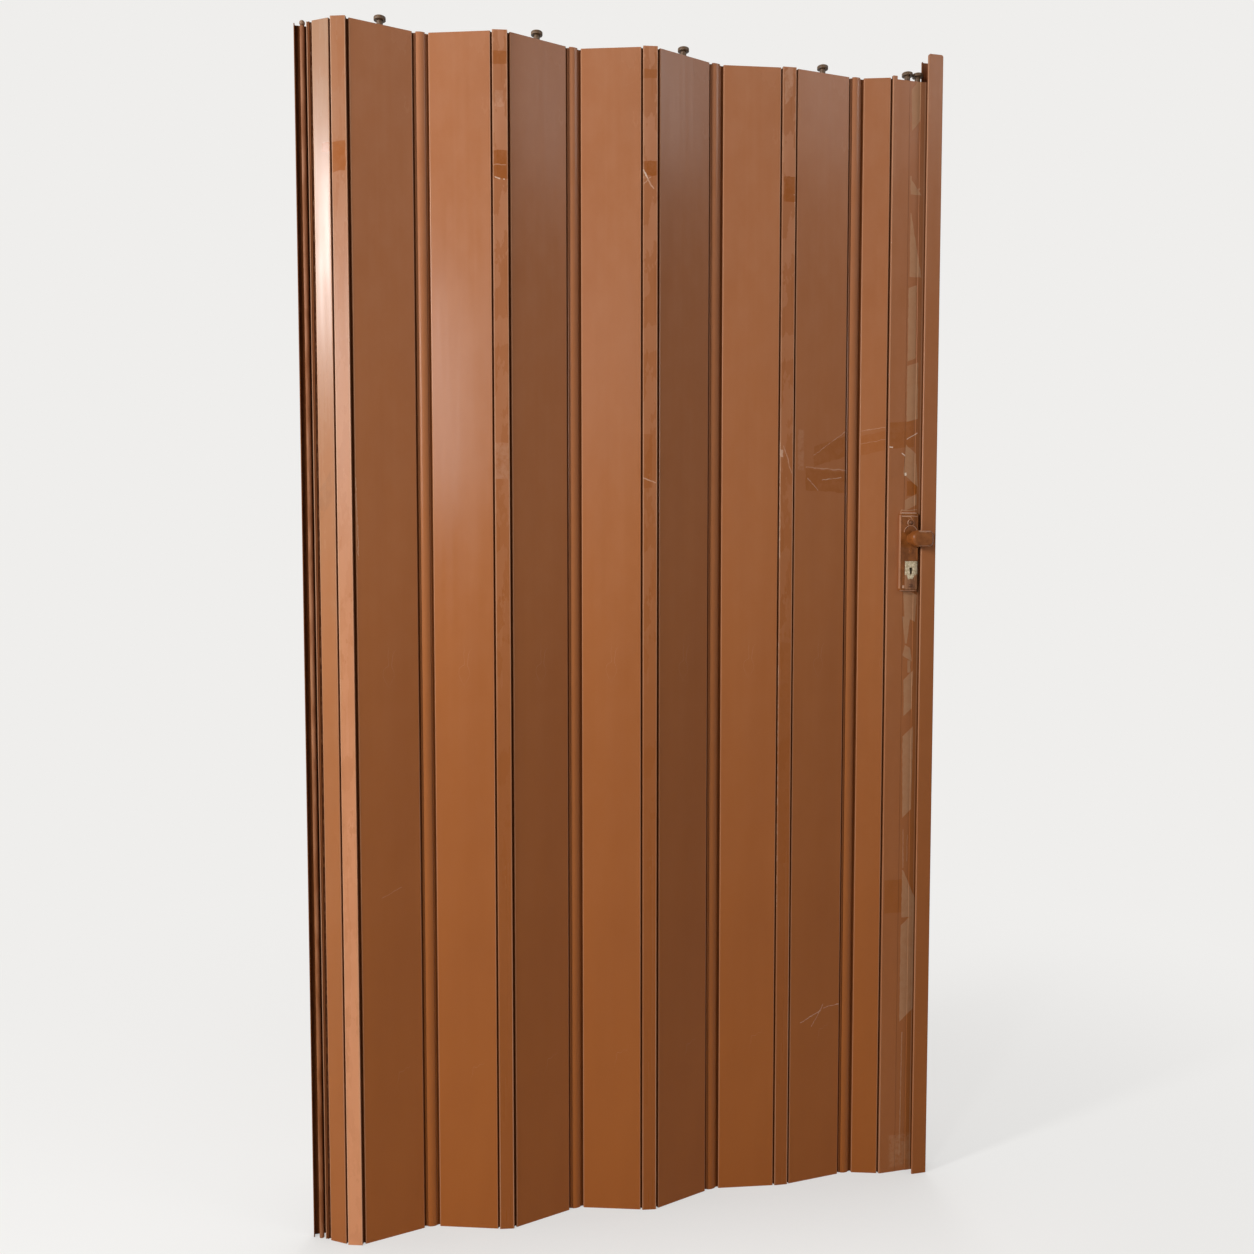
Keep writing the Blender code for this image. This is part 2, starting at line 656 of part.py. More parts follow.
# Both handle plates: the front one also has the window of the lock's metal face
def build_plate(name, post, front):
    drop = POST_HEIGHT / 2
    if front:
        low_y = POST_FRONT - GAP - PLATE_DEPTH
        high_y = POST_FRONT - GAP
        rounds = (PLATE_ROUND, 0.0)
    else:
        low_y = POST_BACK + GAP
        high_y = POST_BACK + GAP + PLATE_DEPTH
        rounds = (0.0, PLATE_ROUND)
    mesh = soft_block_mesh(name, (PLATE_LEFT, low_y, PLATE_BOTTOM - drop),
                           (PLATE_RIGHT, high_y, PLATE_TOP - drop), PLATE_CORNER, *rounds)
    plate = add_part(name, mesh, handle_plastic, post)
    bore = rod_mesh(name + "_bore", (SPINDLE_X, low_y - CUT, SPINDLE_Z - drop),
                    (SPINDLE_X, high_y + CUT, SPINDLE_Z - drop), SPINDLE_BORE_RADIUS)
    combine(plate, add_cutter(name + "_bore", bore, post), "DIFFERENCE")
    cut_screw_hole(plate, SCREW_Z[0], low_y, high_y)
    if front:
        left, bottom, right, top = KEY_FACE
        window = box_mesh("key_window", (left - GAP, low_y - CUT, bottom - GAP - drop),
                          (right + GAP, high_y + CUT, top + GAP - drop))
        combine(plate, add_cutter("key_window", window, post), "DIFFERENCE")
    else:
        cut_screw_hole(plate, SCREW_Z[1], low_y, high_y)
    return low_y, high_y


def build_lock_face(post, plate_front, plate_back):
    drop = POST_HEIGHT / 2
    left, bottom, right, top = KEY_FACE
    front = plate_front - KEY_FACE_PROUD
    mesh = soft_block_mesh("lock_face", (left, front, bottom - drop), (right, plate_back, top - drop),
                           KEY_FACE_CORNER, KEY_FACE_EDGE, 0.0, 2)
    face = add_part("lock_face", mesh, nickel, post)
    cut_screw_hole(face, SCREW_Z[1], front, plate_back)
    slot = KEY_SLOT_WIDTH / 2
    meet = math.degrees(math.acos(slot / KEY_ROUND_RADIUS))
    keyhole = arc(0.0, 0.0, KEY_ROUND_RADIUS, -meet, 180 + meet, 14)
    keyhole += arc(0.0, -KEY_SLOT_LENGTH + slot, slot, 180, 360, 6)
    cut = extrude_outline("keyhole", [keyhole], 4 * CUT)
    cut.transform(Matrix.Rotation(math.radians(90), 4, "X"))
    combine(face, add_cutter("keyhole", cut, post, (KEY_X, plate_front, KEY_Z - drop)), "DIFFERENCE")


def build_latch(post, front_y, back_y):
    drop = POST_HEIGHT / 2
    level = SPINDLE_Z - drop
    middle_y = (POST_FRONT + POST_BACK) / 2
    axis = bpy.data.objects.new("latch_axis", None)
    parts.objects.link(axis)
    axis.parent = post
    axis.location = (SPINDLE_X, middle_y, level)

    half = SPINDLE_SIDE / 2
    reach_front = front_y - KNOB_STANDOFF - KNOB_SOCKET_SHARE * KNOB_DEPTH - middle_y
    reach_back = back_y + KNOB_STANDOFF + KNOB_SOCKET_SHARE * KNOB_DEPTH - middle_y
    spindle = box_mesh("spindle", (-half, reach_front, -half), (half, reach_back, half))
    add_part("spindle", spindle, steel, axis)

    for name, face_y, side in (("turn_knob", front_y, -1), ("rear_knob", back_y, 1)):
        neck_y = face_y + side * GAP - middle_y
        body_near = neck_y + side * KNOB_STANDOFF
        body_far = body_near + side * KNOB_DEPTH
        low = (KNOB_LEFT, min(body_near, body_far), -KNOB_HALF_HEIGHT)
        high = (KNOB_RIGHT, max(body_near, body_far), KNOB_HALF_HEIGHT)
        rounds = (KNOB_FRONT_ROUND, KNOB_BACK_ROUND)[::-side]
        body = soft_block_mesh(name, low, high, KNOB_CORNER, *rounds)
        knob = add_part(name, body, handle_plastic, axis)
        hub = rod_mesh(name + "_hub", (0.0, neck_y, 0.0), (0.0, body_near + side * CUT, 0.0),
                       KNOB_HUB_RADIUS, 32)
        combine(knob, add_cutter(name + "_hub", hub, axis), "UNION")
        socket_end = reach_front - GAP if side < 0 else reach_back + GAP
        socket = box_mesh(name + "_socket",
                          (-half - GAP, min(socket_end, neck_y - side * CUT), -half - GAP),
                          (half + GAP, max(socket_end, neck_y - side * CUT), half + GAP))
        combine(knob, add_cutter(name + "_socket", socket, axis), "DIFFERENCE")

    # The hook: a hub, an arm and a curved finger, stowed with the arm pointing down
    finger_start = HOOK_STOWED - HOOK_HEEL
    finger_end = finger_start + HOOK_SWEEP
    arm = HOOK_ARM_WIDTH / 2
    spread = math.degrees(math.asin(arm / HOOK_HUB_RADIUS))
    outline = arc(0.0, 0.0, HOOK_HUB_RADIUS, HOOK_STOWED + spread, HOOK_STOWED + 360 - spread, 20)
    outline += arc(0.0, 0.0, HOOK_OUTER, finger_start, finger_end, 6)
    outline += arc(0.0, 0.0, HOOK_INNER, finger_end, HOOK_STOWED + HOOK_THROAT, 5)
    hole = rectangle(-half - GAP, -half - GAP, half + GAP, half + GAP)
    hook = extrude_outline("latch_hook", [outline, hole], HOOK_THICKNESS)
    hook.transform(Matrix.Rotation(math.radians(90), 4, "X"))
    add_part("latch_hook", hook, steel, axis)

    # The case: a block in the post with a pocket that the hook swings through
    left = POST_RIB_X + POST_WALL + GAP
    right = POST_RIGHT - POST_WALL - GAP
    low_y = POST_FRONT + POST_WALL + GAP
    high_y = POST_BACK - POST_WALL - GAP
    case = add_part("lock_case", box_mesh("lock_case", (left, low_y, CASE_BOTTOM - drop),
                                          (right, high_y, CASE_TOP - drop)), zinc, post)
    pocket_half = HOOK_THICKNESS / 2 + HOOK_PLAY
    pocket = box_mesh("pocket", (SPINDLE_X - HOOK_HUB_RADIUS - CASE_PLAY, middle_y - pocket_half,
                                 level - HOOK_OUTER - CASE_PLAY),
                      (right + CUT, middle_y + pocket_half, level + HOOK_HUB_RADIUS + CASE_PLAY))
    combine(case, add_cutter("pocket", pocket, post), "DIFFERENCE")
    bore = rod_mesh("case_bore", (SPINDLE_X, low_y - CUT, level), (SPINDLE_X, high_y + CUT, level),
                    SPINDLE_BORE_RADIUS)
    combine(case, add_cutter("case_bore", bore, post), "DIFFERENCE")
    keyway = rod_mesh("keyway", (KEY_X, low_y - CUT, KEY_Z - drop),
                      (KEY_X, middle_y + HOOK_PLAY, KEY_Z - drop), KEY_BORE_RADIUS)
    combine(case, add_cutter("keyway", keyway, post), "DIFFERENCE")
    for z in SCREW_Z:
        cut_screw_hole(case, z, low_y, high_y)


# Two screws clamp the front and rear plates through the post and the case. The lower one
# sits on the lock's metal face
def build_screws(post, front_y, back_y):
    drop = POST_HEIGHT / 2
    top = SCREW_HEAD_HEIGHT + GAP
    seats = (front_y, front_y - KEY_FACE_PROUD)
    for name, z, seat in zip(("plate_screw_top", "plate_screw_bottom"), SCREW_Z, seats):
        end = seat - back_y + SCREW_SHORT
        profile = [(0.0, top), (SCREW_HEAD_RADIUS * SCREW_FLAT_SHARE, top)]
        profile += [(SCREW_HEAD_RADIUS, GAP + SCREW_RIM), (SCREW_HEAD_RADIUS, GAP)]
        profile += [(SCREW_RADIUS, GAP), (SCREW_RADIUS, end), (0.0, end)]
        mesh = turned_mesh(name, profile, 16)
        mesh.transform(Matrix.Rotation(math.radians(90), 4, "X"))
        add_part(name, mesh, steel, post, (SPINDLE_X, seat, z - drop))


# The keeper sits on the jamb's web: a base, two cheeks and the bar that the hook catches
def build_keeper(frame):
    middle_y = (POST_FRONT + POST_BACK) / 2
    inner = JAMB_RIGHT - JAMB_WALL - GAP
    front, bottom, back, top = KEEPER_BASE
    plate = box_mesh("keeper", (inner - KEEPER_BASE_THICKNESS, middle_y + front, SPINDLE_Z + bottom),
                     (inner, middle_y + back, SPINDLE_Z + top))
    base = add_part("keeper", plate, zinc, frame)
    bar_x = SPINDLE_X + HOOK_INNER - KEEPER_BAR_RADIUS - KEEPER_BAR_PLAY
    bar_z = SPINDLE_Z + KEEPER_BAR_RISE
    half = KEEPER_CHEEK_HALF_HEIGHT
    ends = [middle_y + side + KEEPER_CHEEK / 2 for side in KEEPER_CHEEK_Y]
    for number, end in enumerate(ends, start=1):
        cheek = box_mesh(f"cheek_{number}",
                         (bar_x - KEEPER_CHEEK_REACH, end - KEEPER_CHEEK / 2, bar_z - half),
                         (inner - KEEPER_BASE_THICKNESS / 2, end + KEEPER_CHEEK / 2, bar_z + half))
        combine(base, add_cutter(f"cheek_{number}", cheek, frame), "UNION")
    bar = rod_mesh("keeper_bar", (bar_x, ends[0], bar_z), (bar_x, ends[1], bar_z),
                   KEEPER_BAR_RADIUS, 16)
    combine(base, add_cutter("keeper_bar", bar, frame), "UNION")


# Where the lead post's axis is, worked out along the chain from the wall profile's axis
def chain_end():
    reach = {
        "starter": STARTER_WIDTH + 2 * NECK_LENGTH,
        "panel": FACE_WIDTH + 2 * NECK_LENGTH,
        "end": END_WIDTH + 2 * NECK_LENGTH,
        "ridge": AXIS_SPACING,
        "valley": AXIS_SPACING,
        "post": 0.0,
    }
    x = 0.0
    y = 0.0
    for name, kind, angle in CHAIN:
        x += reach[kind] * math.cos(math.radians(angle))
        y += reach[kind] * math.sin(math.radians(angle))
    return x, y


clear_scene()
parts = bpy.data.collections.new("accordion_door")
cutters = bpy.data.collections.new("cutters")
bpy.context.scene.collection.children.link(parts)
bpy.context.scene.collection.children.link(cutters)

light_plastic = make_material("door_plastic", PLASTIC_LIGHT, 0.38)
dark_plastic = make_material("profile_plastic", PLASTIC_DARK, 0.40)
hanger_plastic = make_material("hanger_plastic", (0.30, 0.19, 0.11, 1.0), 0.45)
plug_plastic = make_material("plug_plastic", (0.22, 0.11, 0.06, 1.0), 0.55)
handle_plastic = make_material("handle_plastic", (0.36, 0.16, 0.07, 1.0), 0.25)
nickel = make_material("nickel", (0.55, 0.50, 0.36, 1.0), 0.35, 1.0)
steel = make_material("steel", (0.55, 0.55, 0.55, 1.0), 0.35, 1.0)
zinc = make_material("zinc", (0.60, 0.60, 0.58, 1.0), 0.45, 1.0)

end_x, end_y = chain_end()
shift_x = -(WALL_WEB_X + end_x + JAMB_RIGHT) / 2
shift_y = -(end_y + (POST_FRONT + POST_BACK) / 2)
start = bpy.data.objects.new("wall_axis", None)
parts.objects.link(start)
start.location = (shift_x, shift_y, 0.0)

pieces = build_chain()
build_wall_profile()
jamb_frame = build_strike_jamb((shift_x + end_x, shift_y + end_y, 0.0))
build_hangers(pieces)
post = pieces["lead_post"]
build_post_cuts(post)
front_y, front_back_y = build_plate("handle_plate", post, True)
back_front_y, back_y = build_plate("rear_plate", post, False)
build_lock_face(post, front_y, front_back_y)
build_latch(post, front_y, back_y)
build_screws(post, front_y, back_y)
build_keeper(jamb_frame)
even_shading()
bpy.context.view_layer.update()
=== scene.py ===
import json
import math

import bmesh
import bpy
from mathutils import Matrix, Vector


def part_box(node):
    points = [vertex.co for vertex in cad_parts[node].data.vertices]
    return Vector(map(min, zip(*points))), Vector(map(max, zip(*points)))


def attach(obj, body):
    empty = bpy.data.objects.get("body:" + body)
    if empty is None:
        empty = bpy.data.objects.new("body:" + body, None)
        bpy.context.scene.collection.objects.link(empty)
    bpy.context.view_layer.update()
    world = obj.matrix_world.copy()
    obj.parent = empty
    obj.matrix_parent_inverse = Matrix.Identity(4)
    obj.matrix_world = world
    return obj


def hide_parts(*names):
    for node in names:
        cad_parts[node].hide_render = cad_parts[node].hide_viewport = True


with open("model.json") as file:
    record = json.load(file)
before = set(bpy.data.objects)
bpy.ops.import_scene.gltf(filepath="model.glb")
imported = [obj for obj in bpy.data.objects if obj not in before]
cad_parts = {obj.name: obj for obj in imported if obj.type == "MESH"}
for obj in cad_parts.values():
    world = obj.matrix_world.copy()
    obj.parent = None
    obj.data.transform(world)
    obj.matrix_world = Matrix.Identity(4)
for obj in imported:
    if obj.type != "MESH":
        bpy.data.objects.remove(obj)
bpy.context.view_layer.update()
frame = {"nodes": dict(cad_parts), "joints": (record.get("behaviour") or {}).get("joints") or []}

nodes = frame["nodes"]
jointPlaces = {joint["name"]: Vector(joint["pos_m"]) for joint in frame["joints"]}
wallAxis = jointPlaces["starter_panel_fold"]
postAxis = jointPlaces["lead_post_fold"]
latchAxis = jointPlaces["latch_turn"]
print("frame loaded:", len(nodes), "nodes")


# Short ways to build a node tree

def newMaterial(name):
    material = bpy.data.materials.new(name)
    material.use_nodes = True
    return material, material.node_tree, material.node_tree.nodes["Principled BSDF"]


# Each input gets a link from another node, or a value of its own
def feed(tree, node, inputs):
    for name, value in inputs.items():
        if isinstance(value, bpy.types.NodeSocket):
            tree.links.new(value, node.inputs[name])
        else:
            node.inputs[name].default_value = value


def addNode(tree, kind, inputs=None, **settings):
    made = tree.nodes.new(kind)
    for name, value in settings.items():
        setattr(made, name, value)
    feed(tree, made, inputs or {})
    return made


def calc(tree, operation, first, second=0.0, third=0.0):
    inputs = {0: first, 1: second, 2: third}
    return addNode(tree, "ShaderNodeMath", inputs, operation=operation).outputs[0]


def times(tree, *factors):
    result = factors[0]
    for factor in factors[1:]:
        result = calc(tree, "MULTIPLY", result, factor)
    return result


def larger(tree, first, second):
    return calc(tree, "MAXIMUM", first, second)


def opposite(tree, value):
    return calc(tree, "SUBTRACT", 1.0, value)


def farFrom(tree, value, middle):
    return calc(tree, "ABSOLUTE", calc(tree, "SUBTRACT", value, middle))


def blendColour(tree, amount, first, second):
    made = addNode(tree, "ShaderNodeMix", {0: amount, 6: first, 7: second}, data_type="RGBA")
    return made.outputs[2]


def remap(tree, value, low, high, newLow=0.0, newHigh=1.0, smooth=True):
    inputs = {"Value": value, "From Min": low, "From Max": high, "To Min": newLow, "To Max": newHigh}
    made = addNode(tree, "ShaderNodeMapRange", inputs)
    made.interpolation_type = "SMOOTHSTEP" if smooth else "LINEAR"
    return made.outputs["Result"]


# 1 between low and high, falling to 0 over the soft width outside them
def within(tree, value, low, high, soft):
    rise = remap(tree, value, low - soft, low)
    return times(tree, rise, remap(tree, value, high, high + soft, 1.0, 0.0))


def vectorCalc(tree, operation, first, second=(0.0, 0.0, 0.0)):
    made = addNode(tree, "ShaderNodeVectorMath", {0: first, 1: second}, operation=operation)
    return made.outputs["Value" if operation in ("DISTANCE", "LENGTH") else "Vector"]


def cloud(tree, place, scale, detail=3.0, roughness=0.55, factors=None):
    if factors:
        place = vectorCalc(tree, "MULTIPLY", place, factors)
    made = addNode(tree, "ShaderNodeTexNoise",
                   {"Vector": place, "Scale": scale, "Detail": detail, "Roughness": roughness})
    return made.outputs["Fac"]


def bumpOn(tree, height, distance, strength=1.0, normal=None):
    inputs = {"Height": height, "Strength": strength, "Distance": distance}
    if normal:
        inputs["Normal"] = normal
    return addNode(tree, "ShaderNodeBump", inputs).outputs["Normal"]


# Coordinates of the piece itself: x across it from its axis, y through it, z up from the floor
def localPlace(tree, origin, angle=0.0):
    coordinates = addNode(tree, "ShaderNodeTexCoord")
    turned = addNode(tree, "ShaderNodeMapping", {
        "Vector": coordinates.outputs["Object"],
        "Location": (origin[0], origin[1], 0.0),
        "Rotation": (0.0, 0.0, angle),
    }, vector_type="TEXTURE")
    return turned.outputs["Vector"]


def splitPlace(tree, place):
    parts = addNode(tree, "ShaderNodeSeparateXYZ", {"Vector": place})
    return parts.outputs["X"], parts.outputs["Y"], parts.outputs["Z"]


# The place pushed about by noise, which makes the edge of a mark ragged
def raggedPlace(tree, place, reach, scale=90.0):
    wander = addNode(tree, "ShaderNodeTexNoise", {"Vector": place, "Scale": scale, "Detail": 4.0})
    centred = vectorCalc(tree, "ADD", wander.outputs["Color"], (-0.5, -0.5, -0.5))
    push = vectorCalc(tree, "MULTIPLY", centred, (reach, reach, reach))
    return vectorCalc(tree, "ADD", place, push)


# Wear marks, and one painted shade. A patch lies between two distances across and two heights. A stroke
# is a thin line
# between two points. The kinds: clean (the pale film of dust and painted sheen is missing), dark (grime,
# and painted shade on the starter panel), glue and bright

def patch(kind, left, right, low, high, **more):
    made = {
        "kind": kind,
        "across": (left + right) / 2,
        "width": right - left,
        "up": (low + high) / 2,
        "height": high - low,
        "slant": 0.0,  # how steeply its ends rise across it
        "taper": 0.0,  # above 0 it widens upwards, below 0 it narrows
        "lean": 0.0,  # how far it leans over as it rises
        "strength": 0.7,
        "broken": 0.25,  # how much of it the noise takes away
        "soft": 0.0010,
    }
    made.update(more)
    if more.get("flush"):  # 1 keeps the left edge upright, -1 the right one
        made["lean"] = more["flush"] * made["taper"] * made["width"] / made["height"]
    return made


strokeSoft = 0.0006


def stroke(start, end, thick=0.0016, kind="glue", **more):
    run = end[0] - start[0]
    rise = end[1] - start[1]
    if abs(run) > abs(rise):
        left, right = sorted((start[0], end[0]))
        middle = (start[1] + end[1]) / 2
        return patch(kind, left, right, middle - thick / 2, middle + thick / 2,
                     slant=rise / run, soft=strokeSoft, **more)
    low, high = sorted((start[1], end[1]))
    middle = (start[0] + end[0]) / 2
    return patch(kind, middle - thick / 2, middle + thick / 2, low, high,
                 lean=run / rise, soft=strokeSoft, **more)


def patchMask(tree, across, up, mark):
    beside = calc(tree, "SUBTRACT", across, mark["across"])
    above = calc(tree, "SUBTRACT", up, mark["up"])
    if mark["lean"]:
        beside = calc(tree, "MULTIPLY_ADD", above, -mark["lean"], beside)
    if mark["slant"]:
        above = calc(tree, "MULTIPLY_ADD", beside, -mark["slant"], above)
    aside = calc(tree, "ABSOLUTE", beside)
    if mark["taper"]:
        widening = mark["taper"] * mark["width"] / mark["height"]
        aside = calc(tree, "MULTIPLY_ADD", above, -widening, aside)
    aside = calc(tree, "SUBTRACT", aside, mark["width"] / 2)
    beyond = calc(tree, "SUBTRACT", calc(tree, "ABSOLUTE", above), mark["height"] / 2)
    return remap(tree, larger(tree, aside, beyond), mark["soft"] / 2, -mark["soft"] / 2)


# Aged brown plastic

plasticLook = {
    "clean": (0.330, 0.094, 0.013, 1),  # plastic that has kept its colour
    "deep": (0.255, 0.066, 0.008, 1),
    "film": (0.430, 0.183, 0.088, 1),  # the pale film of dust, near the floor
    "filmTop": (0.420, 0.184, 0.097, 1),  # and at the top, where it is also a painted sheen and a painted lighter top
    "grime": (0.115, 0.031, 0.006, 1),  # dirt and painted shade in the joints and gaps
    "worn": (0.560, 0.330, 0.210, 1),  # rubbed edges and painted edge highlights
    "glue": (0.560, 0.345, 0.235, 1),  # old glue
    "speck": (0.850, 0.700, 0.560, 1),  # specks and bright marks
    "filmLow": 0.06,  # share of the dust and painted sheen at the floor
    "filmHigh": 0.70,  # and at the top
    "filmReach": 2.0,  # height where it is thickest
    "filmCurve": 1.5,  # above 1 it stays thin for longer
    "flakes": 0.0,  # how much of it has flaked off
    "roughness": 0.17,
    "gloss": 0.14,
    "edgeWear": 0.35,
    "ragged": 0.006,  # how far noise pushes the edges of the marks
    "broadScale": 2.2,  # scales of the noise, from clouds to fine grain
    "streakScale": 60.0,
    "mottleScale": 26.0,
    "flakeScale": 38.0,
    "markScale": 75.0,
    "grainScale": 900.0,
    "grainDepth": 0.00003,
    "waveScale": 7.0,  # the faint unevenness of the panels
    "waveDepth": 0.0006,
    "hairScale": 14.0,  # hairline scratches
    "hairWidth": 0.0016,
    "hairStrength": 0.35,
    "speckScale": 42.0,
    "speckRadius": 0.030,
    "speckRarity": 0.97,
    "speckStrength": 0.6,
}
starterLook = dict(
    plasticLook,
    film=(0.470, 0.245, 0.140, 1),
    filmTop=(0.340, 0.190, 0.112, 1),
    filmLow=0.10,
    filmHigh=0.90,
    gloss=0.15,
    roughness=0.19,
)
dustyLook = dict(
    plasticLook,
    film=(0.600, 0.250, 0.115, 1),
    filmTop=(0.340, 0.155, 0.080, 1),
    filmLow=1.0,
    filmHigh=0.85,
    gloss=0.26,
    roughness=0.20,
    edgeWear=0.45,
    flakes=0.15,
)
stripLook = dict(
    plasticLook,
    clean=(0.285, 0.084, 0.016, 1),
    filmLow=0.0,
    filmHigh=1.0,
    filmCurve=1.9,
    roughness=0.24,
    edgeWear=0.45,
    flakes=0.40,
)
postLook = dict(
    plasticLook,
    glue=(0.460, 0.255, 0.138, 1),
    filmLow=0.22,
    filmHigh=0.70,
    ragged=0.003,
)

# Where dirt and painted shade gather in the gaps, and where edges are rubbed and painted with a pale
# edge highlight, on each kind of piece, in metres from its own axis.
# Each function gives the dirt with painted shade first and the rubbed edge with its painted highlight
# second; width is the distance from the piece's own axis to the next one

panelZone = {
    "neck": 0.0060,  # length of the bead's neck
    "bead": 0.0027,
    "dirtAndShadeGap": 0.0001,
    "dirtAndShadeSoft": 0.0004,
    "beadSoft": 0.0006,
    "beadDirtAndShade": 0.25,
    "rim": (0.0014, 0.0006),  # measured back from the neck
    "rimSoft": 0.0005,
}


# The band over the bead's neck is darkened: painted shade in the gap beside the next piece, with some
# dirt, and the bead takes a share of it. The rim is a pale line, a painted edge highlight with rubbed
# wear
def panelZones(tree, place, width):
    across = splitPlace(tree, place)[0]
    fromMiddle = farFrom(tree, across, width / 2)
    body = width / 2 - panelZone["neck"]
    bead = width / 2 - panelZone["bead"]
    dirtAndShade = within(tree, fromMiddle, body + panelZone["dirtAndShadeGap"], bead, panelZone["dirtAndShadeSoft"])
    onBead = remap(tree, fromMiddle, bead, bead + panelZone["beadSoft"])
    inner, outer = panelZone["rim"]
    rim = within(tree, fromMiddle, body - inner, body - outer, panelZone["rimSoft"])
    return larger(tree, dirtAndShade, times(tree, onBead, panelZone["beadDirtAndShade"])), rim


stripZone = {
    "half": 0.0124,  # half the width of the cover plate
    "socket": 0.0040,
    "socketSoft": 0.0008,
    "dirtAndShade": 0.85,
    "rim": (0.0016, 0.0006),  # measured back from the plate's edge
    "rimSoft": 0.0005,
}


# Everything within the sockets' depth, seen in the gaps beside the cover plate, is darkened: painted
# shade with some dirt. The rim near the plate's edge is painted pale as an edge highlight, with rubbed
# wear
def stripZones(tree, place, width):
    across, depth = splitPlace(tree, place)[:2]
    fromMiddle = farFrom(tree, across, width / 2)
    mouth = stripZone["socket"]
    inside = remap(tree, calc(tree, "ABSOLUTE", depth), mouth, mouth - stripZone["socketSoft"])
    inner, outer = stripZone["rim"]
    edge = stripZone["half"]
    rim = within(tree, fromMiddle, edge - inner, edge - outer, stripZone["rimSoft"])
    return times(tree, inside, stripZone["dirtAndShade"]), rim


postZone = {
    "socketDepth": (-0.0046, -0.0038),
    "socketEnd": (0.0092, 0.0086),
    "recess": (0.0594, 0.0610),  # the painted shade behind the closing edge
    "recessDepth": (0.0, -0.0030),
    "dirtAndShade": 0.9,
    "socketRim": (-0.0042, -0.0024),
    "closingRim": (0.0580, 0.0590),
    "rimSoft": 0.0005,
}


# The socket and the recess behind the closing edge are darkened with painted shade and some dirt. The
# socket's rim and the closing edge are painted pale as edge highlights, with rubbed wear
def postZones(tree, place, width):
    across, depth = splitPlace(tree, place)[:2]
    socket = times(tree, remap(tree, depth, *postZone["socketDepth"]),
                   remap(tree, across, *postZone["socketEnd"]))
    recess = times(tree, remap(tree, across, *postZone["recess"]),
                   remap(tree, depth, *postZone["recessDepth"]))
    rim = within(tree, across, *postZone["socketRim"], postZone["rimSoft"])
    closing = within(tree, across, *postZone["closingRim"], postZone["rimSoft"])
    return times(tree, larger(tree, socket, recess), postZone["dirtAndShade"]), larger(tree, rim, closing)


jambZone = {
    "wall": 0.0019,
    "soft": 0.0003,
    "dirtAndShade": 0.9,
    "rim": (0.0552, 0.0566),
    "rimSoft": 0.0006,
}


# The channel's inside is darkened with painted shade and some dirt. The rim at the left flange is
# painted pale as a rounded edge's highlight, with rubbed wear
def jambZones(tree, place, width):
    across, depth = splitPlace(tree, place)[:2]
    low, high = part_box("strike_jamb")
    front = low.y - postAxis.y + jambZone["wall"]
    back = high.y - postAxis.y - jambZone["wall"]
    right = high.x - postAxis.x - jambZone["wall"]
    inside = times(tree, within(tree, depth, front, back, jambZone["soft"]),
                   remap(tree, across, right, right - jambZone["soft"]))
    rim = within(tree, across, *jambZone["rim"], jambZone["rimSoft"])
    return times(tree, inside, jambZone["dirtAndShade"]), rim


# The wall profile's inside is darkened with painted shade and some dirt; its screw port and front lip
# are painted pale, rubbed wear with a painted highlight
wallZone = {
    "skin": (0.0001, 0.0004),  # the painted shade inside begins this far within its faces
    "dirtAndShade": 0.95,
    "portAcross": (-0.0166, -0.0086),
    "portSoft": 0.0005,
    "portDepth": (0.0095, 0.0070),
    "portFade": (0.9, 1.95, 0.60, 0.40),  # paler below 0.9 m, darker towards the top
    "smearScale": 90.0,
    "smears": (0.35, 0.62, 0.55, 1.15),
    "lipAcross": (-0.0061, -0.0044),
    "lipSoft": 0.0002,
    "lipDepth": (0.0008, -0.0004),
    "rubAndHighlight": 1.6,
}


def wallZones(tree, place, width):
    across, depth, height = splitPlace(tree, place)
    low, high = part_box("wall_profile")
    left = low.x - wallAxis.x
    back = high.y - wallAxis.y
    near, far = wallZone["skin"]
    inside = times(tree, remap(tree, across, left + near, left + far),
                   remap(tree, depth, back - near, back - far))
    smears = cloud(tree, place, wallZone["smearScale"], 4.0, 0.6, (1.0, 1.0, 0.15))
    port = times(tree, within(tree, across, *wallZone["portAcross"], wallZone["portSoft"]),
                 remap(tree, depth, *wallZone["portDepth"]),
                 remap(tree, height, *wallZone["portFade"]),
                 remap(tree, smears, *wallZone["smears"]))
    lip = times(tree, within(tree, across, *wallZone["lipAcross"], wallZone["lipSoft"]),
                remap(tree, depth, *wallZone["lipDepth"]))
    # The port and lip stay out of the painted shade and get the pale rubbed colour with a painted
    # highlight
    rubbedAndLit = larger(tree, port, lip)
    dirtAndShade = times(tree, inside, opposite(tree, rubbedAndLit), wallZone["dirtAndShade"])
    return dirtAndShade, times(tree, rubbedAndLit, wallZone["rubAndHighlight"])


